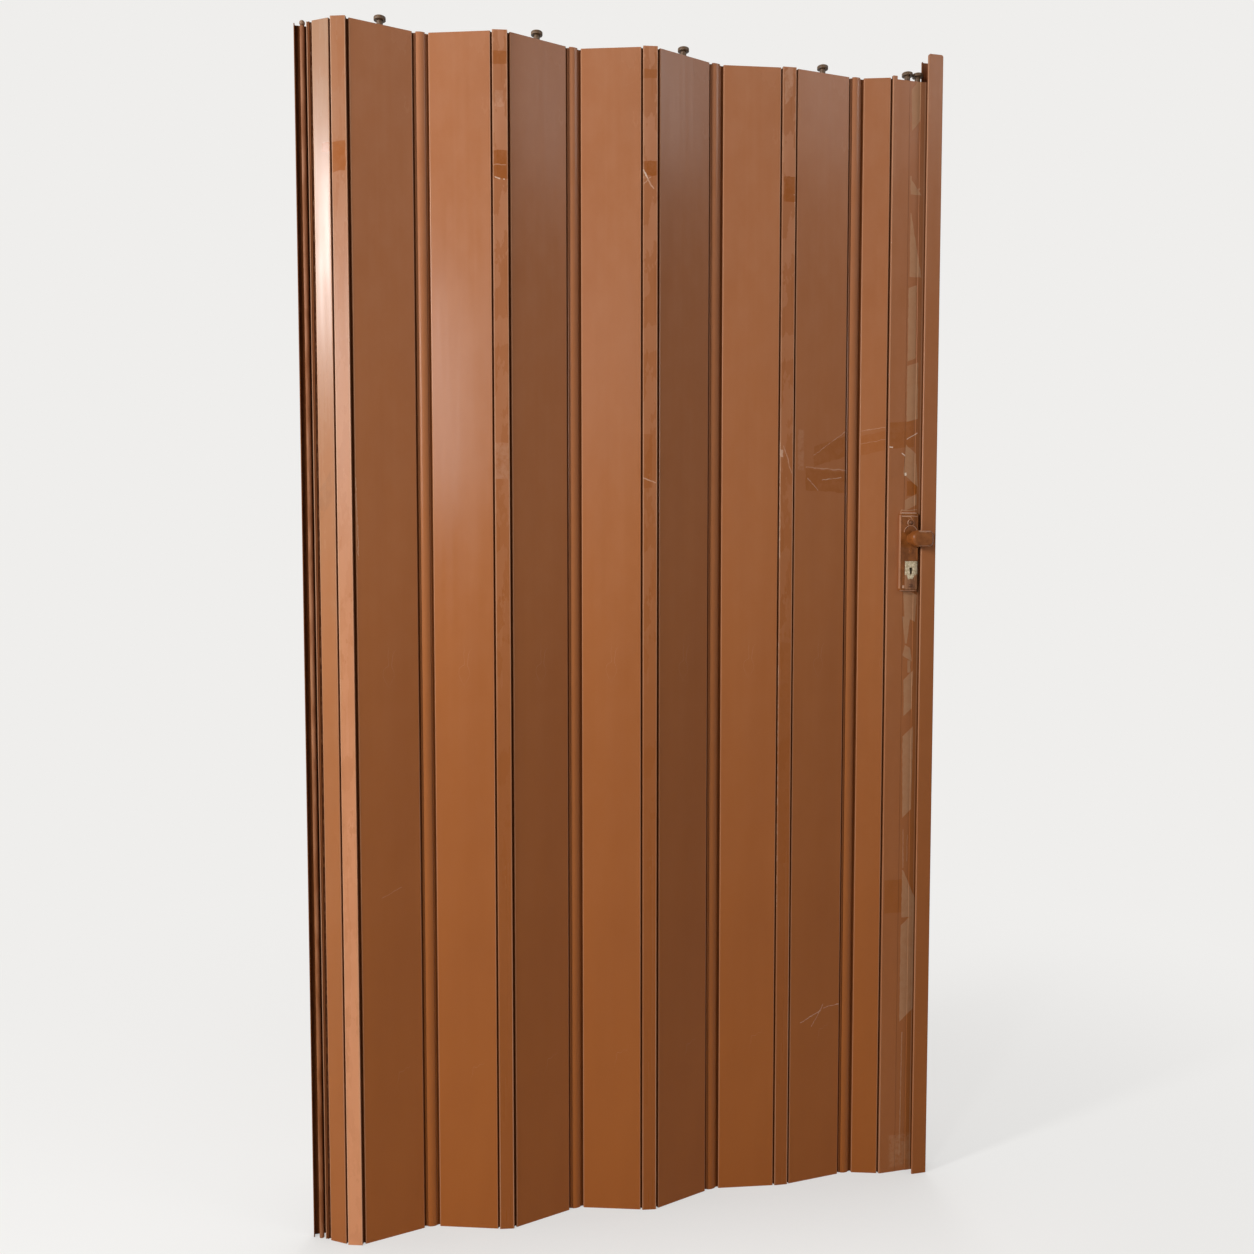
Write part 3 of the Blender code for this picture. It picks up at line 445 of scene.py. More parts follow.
def agedPlastic(name, origin, angle, width, zones, look=plasticLook, marks=()):
    material, tree, shader = newMaterial(name)
    place = localPlace(tree, origin, angle)
    broad = cloud(tree, place, look["broadScale"], 3.0, 0.6, (2.0, 2.0, 0.6))
    streaks = cloud(tree, place, look["streakScale"], 2.0, 0.5, (1.0, 1.0, 0.03))
    mottle = cloud(tree, place, look["mottleScale"], 4.0, 0.6, (1.0, 1.0, 0.55))
    colour = blendColour(tree, remap(tree, broad, 0.35, 0.70, 0.0, 0.5), look["clean"], look["deep"])

    # The pale film of dust thickens towards the top, where it also paints a sheen and a lighter top; it
    # has flaked off in places
    height = splitPlace(tree, place)[2]
    rise = remap(tree, height, 0.0, look["filmReach"], 0.0, 1.0, False)
    rise = calc(tree, "POWER", rise, look["filmCurve"])
    film = remap(tree, rise, 0.0, 1.0, look["filmLow"], look["filmHigh"], False)
    film = times(tree, film,
                 remap(tree, broad, 0.30, 0.72, 1.10, 0.90),
                 remap(tree, mottle, 0.3, 0.7, 0.90, 1.10),
                 remap(tree, streaks, 0.30, 0.70, 0.94, 1.06))
    if look["flakes"]:
        flaked = cloud(tree, place, look["flakeScale"], 4.0, 0.6, (1.0, 1.0, 0.40))
        flaked = remap(tree, flaked, 0.50, 0.53)
        film = times(tree, film, calc(tree, "MULTIPLY_ADD", flaked, -look["flakes"], 1.0))

    # Marks: tape has kept the film off in places, or left its glue
    laid = {}
    if marks:
        across, up = splitPlace(tree, raggedPlace(tree, place, look["ragged"]))[::2]
        speckled = cloud(tree, place, look["markScale"], 5.0, 0.7)
    for mark in marks:
        mask = patchMask(tree, across, up, mark)
        left = remap(tree, speckled, 0.30, 0.62, 1.0 - mark["broken"], 1.0)
        mask = times(tree, mask, left, mark["strength"])
        if mark["kind"] == "clean":
            film = times(tree, film, opposite(tree, mask))
        elif mark["kind"] == "dark":
            colour = blendColour(tree, mask, colour, look["grime"])
        else:
            before = laid.get(mark["kind"])
            laid[mark["kind"]] = larger(tree, before, mask) if before else mask
    # Towards the top the colour turns to the top tone of the dust and painted sheen
    pale = blendColour(tree, rise, look["film"], look["filmTop"])
    colour = blendColour(tree, film, colour, pale)
    roughness = calc(tree, "MULTIPLY_ADD", film, 0.08, look["roughness"] - 0.02)
    roughness = calc(tree, "MULTIPLY_ADD", mottle, 0.05, roughness)
    roughness = calc(tree, "ADD", roughness, remap(tree, streaks, 0.35, 0.65, -0.03, 0.04))
    if "glue" in laid:
        colour = blendColour(tree, laid["glue"], colour, look["glue"])
        roughness = calc(tree, "MULTIPLY_ADD", laid["glue"], 0.35, roughness)
    if "bright" in laid:
        colour = blendColour(tree, laid["bright"], colour, look["speck"])

    # Rubbed edges with a painted edge highlight, and dirt with painted shade in the joints and gaps
    dirtAndShade, rim = zones(tree, place, width)
    rubbedAndLit = times(tree, rim, remap(tree, streaks, 0.30, 0.62, 0.4, 1.0), look["edgeWear"])
    colour = blendColour(tree, rubbedAndLit, colour, look["worn"])
    dirtAndShade = times(tree, dirtAndShade, remap(tree, mottle, 0.25, 0.60, 0.88, 1.0))
    colour = blendColour(tree, dirtAndShade, colour, look["grime"])
    roughness = larger(tree, roughness, times(tree, dirtAndShade, 0.95))

    # Hairline scratches and small pale specks
    hair = cloud(tree, place, look["hairScale"], 3.0, 0.5, (1.0, 1.0, 0.5))
    line = remap(tree, farFrom(tree, hair, 0.5), look["hairWidth"], 0.0)
    where = remap(tree, cloud(tree, place, 9.0, 2.0), 0.60, 0.70)
    colour = blendColour(tree, times(tree, line, where, look["hairStrength"]), colour, look["glue"])
    cells = addNode(tree, "ShaderNodeTexVoronoi", {"Vector": place, "Scale": look["speckScale"]})
    chosen = addNode(tree, "ShaderNodeSeparateColor", {"Color": cells.outputs["Color"]})
    speck = times(tree, calc(tree, "LESS_THAN", cells.outputs["Distance"], look["speckRadius"]),
                  calc(tree, "GREATER_THAN", chosen.outputs["Red"], look["speckRarity"]),
                  look["speckStrength"])
    colour = blendColour(tree, speck, colour, look["speck"])

    grain = bumpOn(tree, cloud(tree, place, look["grainScale"], 2.0), look["grainDepth"], 0.25)
    wave = cloud(tree, place, look["waveScale"], 2.0, 0.4, (1.0, 1.0, 0.35))
    feed(tree, shader, {
        "Base Color": colour,
        "Roughness": roughness,
        "Specular IOR Level": look["gloss"],
        "Normal": bumpOn(tree, wave, look["waveDepth"], 1.0, grain),
    })
    return material


def setMaterial(node, material):
    piece = nodes[node]
    if not piece.material_slots:
        piece.data.materials.append(material)
    for slot in piece.material_slots:
        slot.material = material


# The marks that old tape, glue and knocks have left, and one painted shade, measured from each piece's
# own axis

stripMarks = {
    "ridge_hinge_1": [
        patch("clean", -0.004, 0.018, 1.7618, 1.8081, strength=0.9, slant=0.1),
        patch("dark", 0.005, 0.012, 1.240, 1.255, strength=0.3, slant=0.5, broken=0.6),
    ],
    "ridge_hinge_2": [
        patch("clean", -0.004, 0.022, 1.9477, 1.9680, strength=0.8),
        patch("clean", -0.004, 0.022, 1.7654, 1.8109, strength=0.9),
        stroke((-0.003, 1.788), (0.018, 1.788), strength=0.4),
        stroke((-0.0014, 1.7686), (0.0078, 1.7648), 0.0026, "bright", strength=0.6),
        patch("bright", 0.013, 0.015, 1.764, 1.766),
        patch("glue", 0.000, 0.014, 1.880, 1.906, strength=0.25, broken=0.9),
        patch("glue", -0.003, 0.018, 1.28, 1.34, strength=0.25, broken=0.9),
    ],
    "ridge_hinge_3": [
        patch("clean", -0.004, 0.022, 1.7903, 1.8140, strength=0.9),
        patch("clean", -0.004, 0.022, 1.9496, 1.9638, strength=0.6),
        stroke((-0.005, 1.800), (0.004, 1.785), 0.0028, "bright", strength=0.6),
        stroke((0.004, 1.785), (0.014, 1.768), 0.0026, strength=0.7),
        stroke((-0.003, 1.776), (0.010, 1.788), 0.0018, strength=0.6),
        patch("clean", -0.002, 0.012, 1.27, 1.36, strength=0.5),
        stroke((-0.004, 1.286), (0.018, 1.279), 0.0022, strength=0.7),
    ],
    "ridge_hinge_4": [
        patch("glue", 0.000, 0.014, 1.946, 2.000, strength=0.35, slant=1.2, broken=0.8),
        patch("clean", -0.001, 0.021, 1.7728, 1.8152, strength=0.85),
        patch("glue", 0.017, 0.019, 1.783, 1.785),
        patch("glue", 0.018, 0.020, 1.771, 1.773),
        stroke((-0.0045, 1.360), (-0.0035, 1.150), 0.0020, strength=0.8, broken=0.9),
        stroke((0.003, 1.350), (0.018, 1.300), 0.0018, strength=0.5, broken=0.6),
        patch("glue", -0.003, 0.002, 1.330, 1.342, strength=0.9),
        stroke((-0.0045, 1.000), (-0.0045, 0.520), 0.0018, strength=0.5, broken=1.0),
        patch("clean", 0.000, 0.018, 0.600, 1.000, strength=0.5, broken=0.6),
    ],
}
panelMarks = {
    "starter_panel": [
        # A full-height strip over the bead beside the wall profile loses its film and takes the dark
        # joint colour: painted shade of the gap there
        patch("clean", -0.0060, 0.0024, 0.0, 2.05, strength=1.0, broken=0.0),
        patch("dark", -0.0060, 0.0024, 0.0, 2.05, strength=0.95, broken=0.0),
        patch("clean", 0.022, 0.035, 1.795, 1.8085, strength=0.8),
        patch("dark", 0.008, 0.030, 1.225, 1.276, strength=0.35, slant=1.4, broken=1.0),
    ],
    "panel_1": [
        stroke((0.0072, 1.2788), (0.0100, 1.1468), 0.0018, strength=0.5, broken=0.9),
        stroke((0.040, 0.585), (0.075, 0.600), 0.0012, strength=0.25),
    ],
    "panel_7": [
        patch("clean", 0.044, 0.107, 1.3240, 1.3600, strength=0.65, slant=0.30, broken=0.5),
        stroke((0.044, 1.334), (0.107, 1.378), 0.0014, "bright", strength=0.35, broken=0.9),
        patch("clean", 0.028, 0.109, 1.2703, 1.3080, strength=0.65, slant=-0.05, broken=0.5),
        stroke((0.028, 1.3130), (0.109, 1.3090), 0.0018, strength=0.5, broken=0.7),
        stroke((0.032, 1.293), (0.053, 1.272), 0.0018, "bright", strength=0.35, broken=0.9),
        stroke((0.060, 1.290), (0.100, 1.296), 0.0010, "bright", strength=0.40, broken=0.9),
        patch("dark", 0.044, 0.107, 1.3240, 1.3600, strength=0.10, slant=0.30, broken=0.7),
        patch("dark", 0.028, 0.109, 1.2703, 1.3080, strength=0.10, slant=-0.05, broken=0.7),
        patch("glue", 0.012, 0.024, 1.307, 1.378, strength=0.15, broken=0.9, soft=0.004),
        stroke((0.027, 0.300), (0.070, 0.318), 0.0010, "bright", strength=0.45, broken=0.7),
        stroke((0.050, 0.290), (0.075, 0.330), 0.0010, "bright", strength=0.40, broken=0.8),
        stroke((0.075, 0.322), (0.108, 0.326), 0.0010, "bright", strength=0.40, broken=0.8),
    ],
    "end_panel": [
        patch("clean", 0.0085, 0.053, 1.3406, 1.3760, strength=0.45, slant=0.20, broken=0.5),
        stroke((0.0085, 1.3790), (0.053, 1.3868), 0.0014, strength=0.45, broken=0.6),
        stroke((0.0085, 1.357), (0.053, 1.364), 0.0010, strength=0.4, broken=0.8),
    ],
}

# The pale band that tape has left down the lead post, from the top to the floor
postMarks = [
    patch("glue", 0.0330, 0.0495, 1.9200, 1.9940, slant=1.2, taper=0.1),
    stroke((0.0330, 1.832), (0.0340, 1.800), 0.0030),
    patch("glue", 0.0330, 0.0440, 1.8000, 1.8260, taper=-0.9, flush=1),
    stroke((0.0430, 1.802), (0.0500, 1.812), 0.0040),
    patch("glue", 0.0330, 0.0450, 1.6550, 1.7673, taper=-0.9, flush=1),
    patch("glue", 0.0315, 0.0470, 1.5080, 1.6380, slant=0.4),
    patch("glue", 0.0310, 0.0520, 1.4000, 1.5000, slant=0.3),
    patch("glue", 0.0285, 0.0525, 1.2920, 1.3480, slant=-0.8, taper=-0.2),
    patch("glue", 0.0300, 0.0530, 1.2420, 1.2620, slant=0.5),
    stroke((0.0222, 1.2345), (0.0232, 1.2385), 0.0014, strength=1.2, broken=0.1),
    stroke((0.0228, 1.2385), (0.0350, 1.2368), 0.0016, strength=1.2, broken=0.1),
    stroke((0.0345, 1.2368), (0.0540, 1.2392), 0.0014, strength=1.2, broken=0.1),
    patch("glue", 0.0305, 0.0550, 1.0400, 1.0905, slant=-0.5, taper=0.15),
    patch("glue", 0.0310, 0.0410, 0.9950, 1.0450, taper=0.6),
    patch("glue", 0.0320, 0.0465, 0.9675, 0.9900, slant=-0.6, taper=-0.3),
    patch("glue", 0.0400, 0.0460, 0.9410, 0.9640),
    patch("glue", 0.0330, 0.0500, 0.8680, 0.9370, slant=0.9, taper=0.1),
    patch("glue", 0.0330, 0.0520, 0.6800, 0.8330, slant=0.9, taper=0.1),
    stroke((0.0356, 0.651), (0.0368, 0.578), 0.0016, broken=0.5),
    stroke((0.0450, 0.640), (0.0440, 0.590), 0.0012, broken=0.5, strength=0.5),
    patch("glue", 0.0350, 0.0575, 0.4850, 0.5740, taper=-0.9, flush=1),
    patch("glue", 0.0340, 0.0630, 0.3000, 0.4830, slant=0.9, strength=0.65),
    stroke((0.0397, 0.267), (0.0375, 0.030), 0.0022, broken=0.7, strength=0.6),
    patch("glue", 0.0165, 0.0615, 0.0100, 0.0700, strength=0.35, broken=0.9, soft=0.010),

    # Places without film, bright scratches and knocks
    patch("clean", -0.002, 0.046, 1.3500, 1.3970, strength=0.65, slant=0.10, broken=0.5),
    patch("clean", 0.000, 0.041, 0.4950, 0.5570, strength=0.8),
    patch("clean", 0.0340, 0.0530, 1.2640, 1.2900, strength=0.9),
    stroke((0.0323, 1.3662), (0.0529, 1.3775), 0.0016, "bright", strength=0.7),
    stroke((-0.002, 1.351), (0.0049, 1.351), 0.0022, "bright", strength=0.8),
    stroke((0.0220, 1.3408), (0.0288, 1.3355), 0.0022, "bright", strength=0.8),
    patch("bright", 0.0288, 0.0325, 1.3005, 1.3055, strength=1.0, broken=0.0),
    patch("dark", 0.002, 0.028, 1.3000, 1.3400, strength=0.12, slant=0.5, broken=0.8),
    patch("dark", 0.0355, 0.0375, 1.9775, 1.9795, strength=0.5, broken=0.0),
    patch("dark", 0.0367, 0.0387, 1.9603, 1.9623, strength=0.5, broken=0.0),
    patch("dark", 0.0380, 0.0500, 1.4260, 1.4460, strength=0.3, broken=0.7),
]
wearMarks = {**stripMarks, **panelMarks, "lead_post": postMarks}
print("wear marks listed")


# The chain of panels and hinge strips, with each piece's own axis, direction and width

chainOrder = [joint["child"] for joint in frame["joints"] if joint["name"].endswith("_fold")]
chainLook = {"starter_panel": starterLook, "ridge_hinge_1": dustyLook, "lead_post": postLook}


def chainPlace(piece):
    start = jointPlaces[piece + "_fold"]
    following = chainOrder.index(piece) + 1
    if following == len(chainOrder):
        return start, 0.0, 0.0  # the lead post's zones need no width
    run = jointPlaces[chainOrder[following] + "_fold"] - start
    return start, math.atan2(run.y, run.x), run.length


for piece in chainOrder:
    zones = stripZones if "hinge" in piece else panelZones
    if piece == "lead_post":
        zones = postZones
    look = chainLook.get(piece, stripLook if "ridge" in piece else plasticLook)
    marks = wearMarks.get(piece, ())
    setMaterial(piece, agedPlastic("plastic_" + piece, *chainPlace(piece), zones, look, marks))
setMaterial("wall_profile", agedPlastic("plastic_wall_profile", wallAxis, 0.0, 0.0, wallZones))
setMaterial("strike_jamb", agedPlastic("plastic_strike_jamb", postAxis, 0.0, 0.0, jambZones))
print("brown plastic pieces finished")


# Small fittings of dull plastic: hangers, plugs and the stopper

dullLook = {
    "hanger": {"base": (0.095, 0.052, 0.026, 1), "dustAndTopLight": (0.235, 0.150, 0.085, 1), "roughness": 0.42},
    "plug": {"base": (0.085, 0.055, 0.028, 1), "dustAndTopLight": (0.170, 0.115, 0.070, 1), "roughness": 0.55},
    "stopper": {"base": (0.210, 0.110, 0.060, 1), "dustAndTopLight": (0.330, 0.220, 0.150, 1), "roughness": 0.45},
}


def dullPlastic(name, look):
    material, tree, shader = newMaterial(name)
    place = addNode(tree, "ShaderNodeTexCoord").outputs["Object"]
    blotches = remap(tree, cloud(tree, place, 260.0, 4.0, 0.65), 0.42, 0.68)
    # Upward faces are paler: dust, and a painted lighter top where the light falls on them
    up = splitPlace(tree, addNode(tree, "ShaderNodeNewGeometry").outputs["Normal"])[2]
    dustAndTopLight = larger(tree, times(tree, blotches, 0.5), times(tree, remap(tree, up, 0.1, 0.9), 0.8))
    colour = blendColour(tree, dustAndTopLight, look["base"], look["dustAndTopLight"])
    scuff = remap(tree, cloud(tree, place, 700.0, 3.0, 0.6, (1.0, 1.0, 4.0)), 0.58, 0.72, 0.0, 0.35)
    colour = blendColour(tree, scuff, colour, look["dustAndTopLight"])
    feed(tree, shader, {
        "Base Color": colour,
        "Roughness": calc(tree, "MULTIPLY_ADD", dustAndTopLight, 0.25, look["roughness"]),
        "Specular IOR Level": 0.35,
        "Normal": bumpOn(tree, cloud(tree, place, 1600.0, 2.0), 0.00005, 0.4),
    })
    return material


for piece in nodes:
    for word in ("plug", "stopper"):
        if word in piece:
            setMaterial(piece, dullPlastic(word + "_" + piece, dullLook[word]))
hangerPlastic = dullPlastic("hanger_plastic", dullLook["hanger"])


# Metals

metalLook = {
    "steel": {
        "base": (0.56, 0.55, 0.52, 1),
        "stain": (0.20, 0.14, 0.09, 1),
        "share": 0.35,  # how much of it is stained
        "roughness": 0.34,
        "pieces": ("spindle", "latch_hook"),
    },
    "zinc": {
        "base": (0.50, 0.50, 0.48, 1),
        "stain": (0.26, 0.23, 0.19, 1),
        "share": 0.50,
        "roughness": 0.48,
        "pieces": ("lock_case", "keeper"),
    },
    "screw": {
        "base": (0.17, 0.080, 0.045, 1),
        "stain": (0.075, 0.025, 0.012, 1),
        "share": 0.60,
        "roughness": 0.50,
        "pieces": ("plate_screw_top", "plate_screw_bottom"),
    },
}


def agedMetal(name, look):
    material, tree, shader = newMaterial(name)
    place = addNode(tree, "ShaderNodeTexCoord").outputs["Object"]
    blotches = cloud(tree, place, 180.0, 5.0, 0.65)
    stained = remap(tree, blotches, 0.62 - look["share"] * 0.35, 0.80 - look["share"] * 0.20)
    brushed = cloud(tree, place, 900.0, 2.0, 0.5, (1.0, 1.0, 0.06))
    colour = blendColour(tree, remap(tree, brushed, 0.35, 0.65, 0.0, 0.25), look["base"], look["stain"])
    colour = blendColour(tree, times(tree, stained, 0.85), colour, look["stain"])
    pits = bumpOn(tree, blotches, 0.00010, 0.5)
    feed(tree, shader, {
        "Base Color": colour,
        "Metallic": remap(tree, stained, 0.0, 1.0, 0.95, 0.35),
        "Roughness": calc(tree, "MULTIPLY_ADD", stained, 0.25, look["roughness"]),
        "Normal": bumpOn(tree, brushed, 0.00003, 0.4, pits),
    })
    return material


for word, look in metalLook.items():
    for piece in look["pieces"]:
        setMaterial(piece, agedMetal(word + "_" + piece, look))


# The lock's metal face: tarnished nickel above, brown rust with pale runs below the keyhole

lockLook = {
    "nickel": (0.66, 0.56, 0.40, 1),
    "tarnish": (0.38, 0.295, 0.180, 1),
    "rust": (0.170, 0.062, 0.020, 1),
    "deepRust": (0.07, 0.022, 0.008, 1),
    "runs": (0.370, 0.165, 0.072, 1),
    "middle": 0.0392,  # middle of the dip, from the post's axis
    "edge": 1.1215,  # height of the rust's edge beside the keyhole
    "edgeSoft": 0.0009,
    "dip": 0.0085,  # how far the nickel reaches down round it
    "dipReach": (0.0035, 0.0085),
    "wobble": 0.010,
}


def lockMaterial():
    material, tree, shader = newMaterial("nickel_lock_face")
    place = localPlace(tree, postAxis)
    across, height = splitPlace(tree, place)[::2]
    mottle = cloud(tree, place, 330.0, 5.0, 0.68)
    fromKey = farFrom(tree, across, lockLook["middle"])
    dip = remap(tree, fromKey, *lockLook["dipReach"], lockLook["dip"], 0.0)
    wobble = cloud(tree, place, 140.0, 3.0)
    wobble = calc(tree, "MULTIPLY_ADD", wobble, lockLook["wobble"], -lockLook["wobble"] / 2)
    edge = calc(tree, "ADD", calc(tree, "ADD", height, dip), wobble)
    plated = remap(tree, edge, lockLook["edge"] - lockLook["edgeSoft"],
                   lockLook["edge"] + lockLook["edgeSoft"])
    metal = blendColour(tree, remap(tree, mottle, 0.38, 0.62), lockLook["tarnish"], lockLook["nickel"])
    runs = remap(tree, cloud(tree, place, 150.0, 2.0, 0.5, (1.0, 1.0, 0.08)), 0.46, 0.60)
    rusty = blendColour(tree, times(tree, runs, 0.75), lockLook["rust"], lockLook["runs"])
    rusty = blendColour(tree, remap(tree, mottle, 0.55, 0.75, 0.0, 0.4), rusty, lockLook["deepRust"])
    feed(tree, shader, {
        "Base Color": blendColour(tree, plated, rusty, metal),
        "Metallic": times(tree, plated, 0.75),
        "Roughness": remap(tree, mottle, 0.3, 0.7, 0.42, 0.60),
        "Normal": bumpOn(tree, mottle, 0.00015, 0.6),
    })
    return material


setMaterial("lock_face", lockMaterial())
print("fittings and metals finished")


# Glossy brown plastic of the knobs and plates

handleLook = {
    "colour": (0.300, 0.098, 0.024, 1),
    "dark": (0.200, 0.060, 0.012, 1),
    "worn": (0.620, 0.370, 0.240, 1),
    "roughness": 0.22,
    "gloss": 0.20,
    "ragged": 0.0016,
    "raggedScale": 260.0,
    "ringInside": 0.0005,  # the rubbed ring with its painted highlight reaches this far in from its radius
    "ringOutside": 0.0006,
    "ringSoft": 0.0003,
}


# Marks as for the panels; a ring has a middle, a radius and a height below which it isn't drawn
def handlePlastic(name, marks=(), rings=(), wear=0.3):
    material, tree, shader = newMaterial(name)
    place = localPlace(tree, postAxis)
    height = splitPlace(tree, place)[2]
    broad = cloud(tree, place, 55.0, 4.0, 0.6)
    colour = blendColour(tree, remap(tree, broad, 0.35, 0.68), handleLook["colour"], handleLook["dark"])
    scuff = remap(tree, cloud(tree, place, 320.0, 5.0, 0.7), 0.60, 0.74, 0.0, wear)
    ragged = raggedPlace(tree, place, handleLook["ragged"], handleLook["raggedScale"])
    across, up = splitPlace(tree, ragged)[::2]
    for mark in marks:
        mask = patchMask(tree, across, up, mark)
        scuff = larger(tree, scuff, times(tree, mask, mark["strength"]))
    # The raised arch and ring are painted pale: rubbed high spots with a painted highlight
    for middle, radius, lowest in rings:
        flat = vectorCalc(tree, "MULTIPLY", place, (1.0, 0.0, 1.0))
        fromMiddle = vectorCalc(tree, "DISTANCE", flat, middle)
        rubbedAndLit = within(tree, fromMiddle, radius - handleLook["ringInside"],
                        radius + handleLook["ringOutside"], handleLook["ringSoft"])
        rubbedAndLit = times(tree, rubbedAndLit, remap(tree, broad, 0.40, 0.55, 0.25, 0.95),
                       calc(tree, "GREATER_THAN", height, lowest))
        scuff = larger(tree, scuff, rubbedAndLit)
    colour = blendColour(tree, scuff, colour, handleLook["worn"])
    feed(tree, shader, {
        "Base Color": colour,
        "Roughness": calc(tree, "MULTIPLY_ADD", scuff, 0.3, handleLook["roughness"]),
        "Specular IOR Level": handleLook["gloss"],
        "Normal": bumpOn(tree, cloud(tree, place, 420.0, 2.0), 0.00008, 0.35),
    })
    return material


# Modelling by hand, in edit mode

def choose(piece):
    bpy.ops.object.select_all(action="DESELECT")
    bpy.context.view_layer.objects.active = piece
    piece.select_set(True)


def applyPlace(piece):
    bpy.ops.object.transform_apply(location=True, rotation=True, scale=True)
    piece.data.name = piece.name
    return piece


def startShape(name, add, **settings):
    bpy.ops.object.select_all(action="DESELECT")
    add(**settings)
    bpy.context.object.name = name
    return applyPlace(bpy.context.object)


def startBlock(name, low, high):
    return startShape(name, bpy.ops.mesh.primitive_cube_add, size=1,
                      location=(Vector(low) + Vector(high)) / 2, scale=Vector(high) - Vector(low))


# A round bar along Y
def startRod(name, x, z, radius, nearY, farY, sides=48):
    return startShape(name, bpy.ops.mesh.primitive_cylinder_add, vertices=sides, radius=radius,
                      depth=abs(farY - nearY), location=(x, (nearY + farY) / 2, z),
                      rotation=(math.radians(90), 0, 0))


def pick(piece, kind, test):
    bpy.ops.object.mode_set(mode="EDIT")
    bpy.ops.mesh.select_mode(type=kind)
    bpy.ops.mesh.select_all(action="DESELECT")
    mesh = bmesh.from_edit_mesh(piece.data)
    for item in mesh.edges if kind == "EDGE" else mesh.faces:
        item.select = test(item)
    mesh.select_flush_mode()
    bmesh.update_edit_mesh(piece.data)


def pickEdges(piece, test):
    pick(piece, "EDGE", lambda edge: test(edge.verts[0].co, edge.verts[1].co))


def pickFaces(piece, test):
    pick(piece, "FACE", lambda face: test(face.normal))


def closeTo(first, second, reach=0.00002):
    return abs(first - second) < reach


def bevelPicked(offset, segments):
    bpy.ops.mesh.bevel(offset=offset, offset_type="OFFSET", segments=segments, profile=0.5,
                       affect="EDGES")
    bpy.ops.object.mode_set(mode="OBJECT")


def alongY(first, second):
    return closeTo(first.x, second.x) and closeTo(first.z, second.z)


def onPlane(y):
    return lambda first, second: closeTo(first.y, y) and closeTo(second.y, y)


def joinShape(piece, other, operation):
    choose(piece)
    work = piece.modifiers.new(operation.lower(), "BOOLEAN")
    work.operation = operation
    work.object = other
    bpy.ops.object.modifier_apply(modifier=work.name)
    bpy.data.objects.remove(other)


smoothAngle = 32  # edges sharper than this, in degrees, stay sharp


def finishPiece(piece, node, body, material):
    choose(piece)
    bpy.ops.object.shade_smooth_by_angle(angle=math.radians(smoothAngle))
    piece.data.materials.clear()
    piece.data.materials.append(material)
    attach(piece, body)
    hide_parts(node)


# Lever knobs: a rounded block on a round neck, with a square socket for the spindle

knobLook = {
    "inset": 0.0010,  # the round end stands this far inside the node's box
    "leftCorner": 0.0140,
    "rightCorner": 0.0098,
    "frontRound": 0.0050,
    "backRound": 0.0030,
    "standoff": 0.0100,  # keeps the grip clear of the jamb
    "neckRadius": 0.0106,
    "neckRound": 0.0042,
    "neckOverlap": 0.0060,  # how far the neck reaches into the grip
    "socketHalf": 0.0038,
    "socketPlay": 0.0003,
    "socketLead": 0.0050,  # the cutter starts this far outside the neck
    "wear": 0.12,
}


# Rubbed edges of the grip, painted pale with a painted edge highlight: top, round end and bottom
def knobMarks(low, high):
    left = low.x - postAxis.x
    right = high.x - postAxis.x
    top = high.z - 0.0016
    bottom = low.z + 0.0016
    return [
        stroke((left + 0.012, top), (right - 0.006, top), 0.0016, strength=0.55),
        stroke((right - 0.0018, low.z + 0.008), (right - 0.0018, high.z - 0.007), 0.0014, strength=0.5),
        stroke((left + 0.012, bottom), (right - 0.009, bottom), 0.0014, strength=0.3),
    ]


def buildKnob(name, node, side):
    low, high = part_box(node)
    face = high.y if side < 0 else low.y  # the end beside the plate
    far = low.y if side < 0 else high.y
    near = face + side * knobLook["standoff"]
    left = low.x + knobLook["inset"]
    knob = startBlock(name, (left, min(near, far), low.z), (high.x, max(near, far), high.z))
    pickEdges(knob, lambda first, second: alongY(first, second) and closeTo(first.x, left))
    bevelPicked(knobLook["leftCorner"], 14)
    pickEdges(knob, lambda first, second: alongY(first, second) and closeTo(first.x, high.x))
    bevelPicked(knobLook["rightCorner"], 12)
    pickEdges(knob, onPlane(far))
    bevelPicked(knobLook["frontRound"], 7)
    pickEdges(knob, onPlane(near))
    bevelPicked(knobLook["backRound"], 5)
    neck = startRod(name + "Neck", latchAxis.x, latchAxis.z, knobLook["neckRadius"],
                    face, near + side * knobLook["neckOverlap"], 64)
    pickEdges(neck, onPlane(face))
    bevelPicked(knobLook["neckRound"], 6)
    joinShape(knob, neck, "UNION")
    half = knobLook["socketHalf"]
    spindleLow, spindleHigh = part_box("spindle")
    end = spindleLow.y - knobLook["socketPlay"] if side < 0 else spindleHigh.y + knobLook["socketPlay"]
    start = face - side * knobLook["socketLead"]
    socket = startBlock(name + "Socket", (latchAxis.x - half, min(start, end), latchAxis.z - half),
                        (latchAxis.x + half, max(start, end), latchAxis.z + half))
    joinShape(knob, socket, "DIFFERENCE")
    material = handlePlastic(name + "Plastic", knobMarks(low, high), wear=knobLook["wear"])
    finishPiece(knob, node, "latch", material)


buildKnob("front_knob", "turn_knob", -1)
buildKnob("back_knob", "rear_knob", 1)
print("knobs modelled")


# Handle plates: a rounded plate with a raised rim, holes for spindle and screws, and on the front
# the window for the lock's metal face, an arch, a ring and a stud

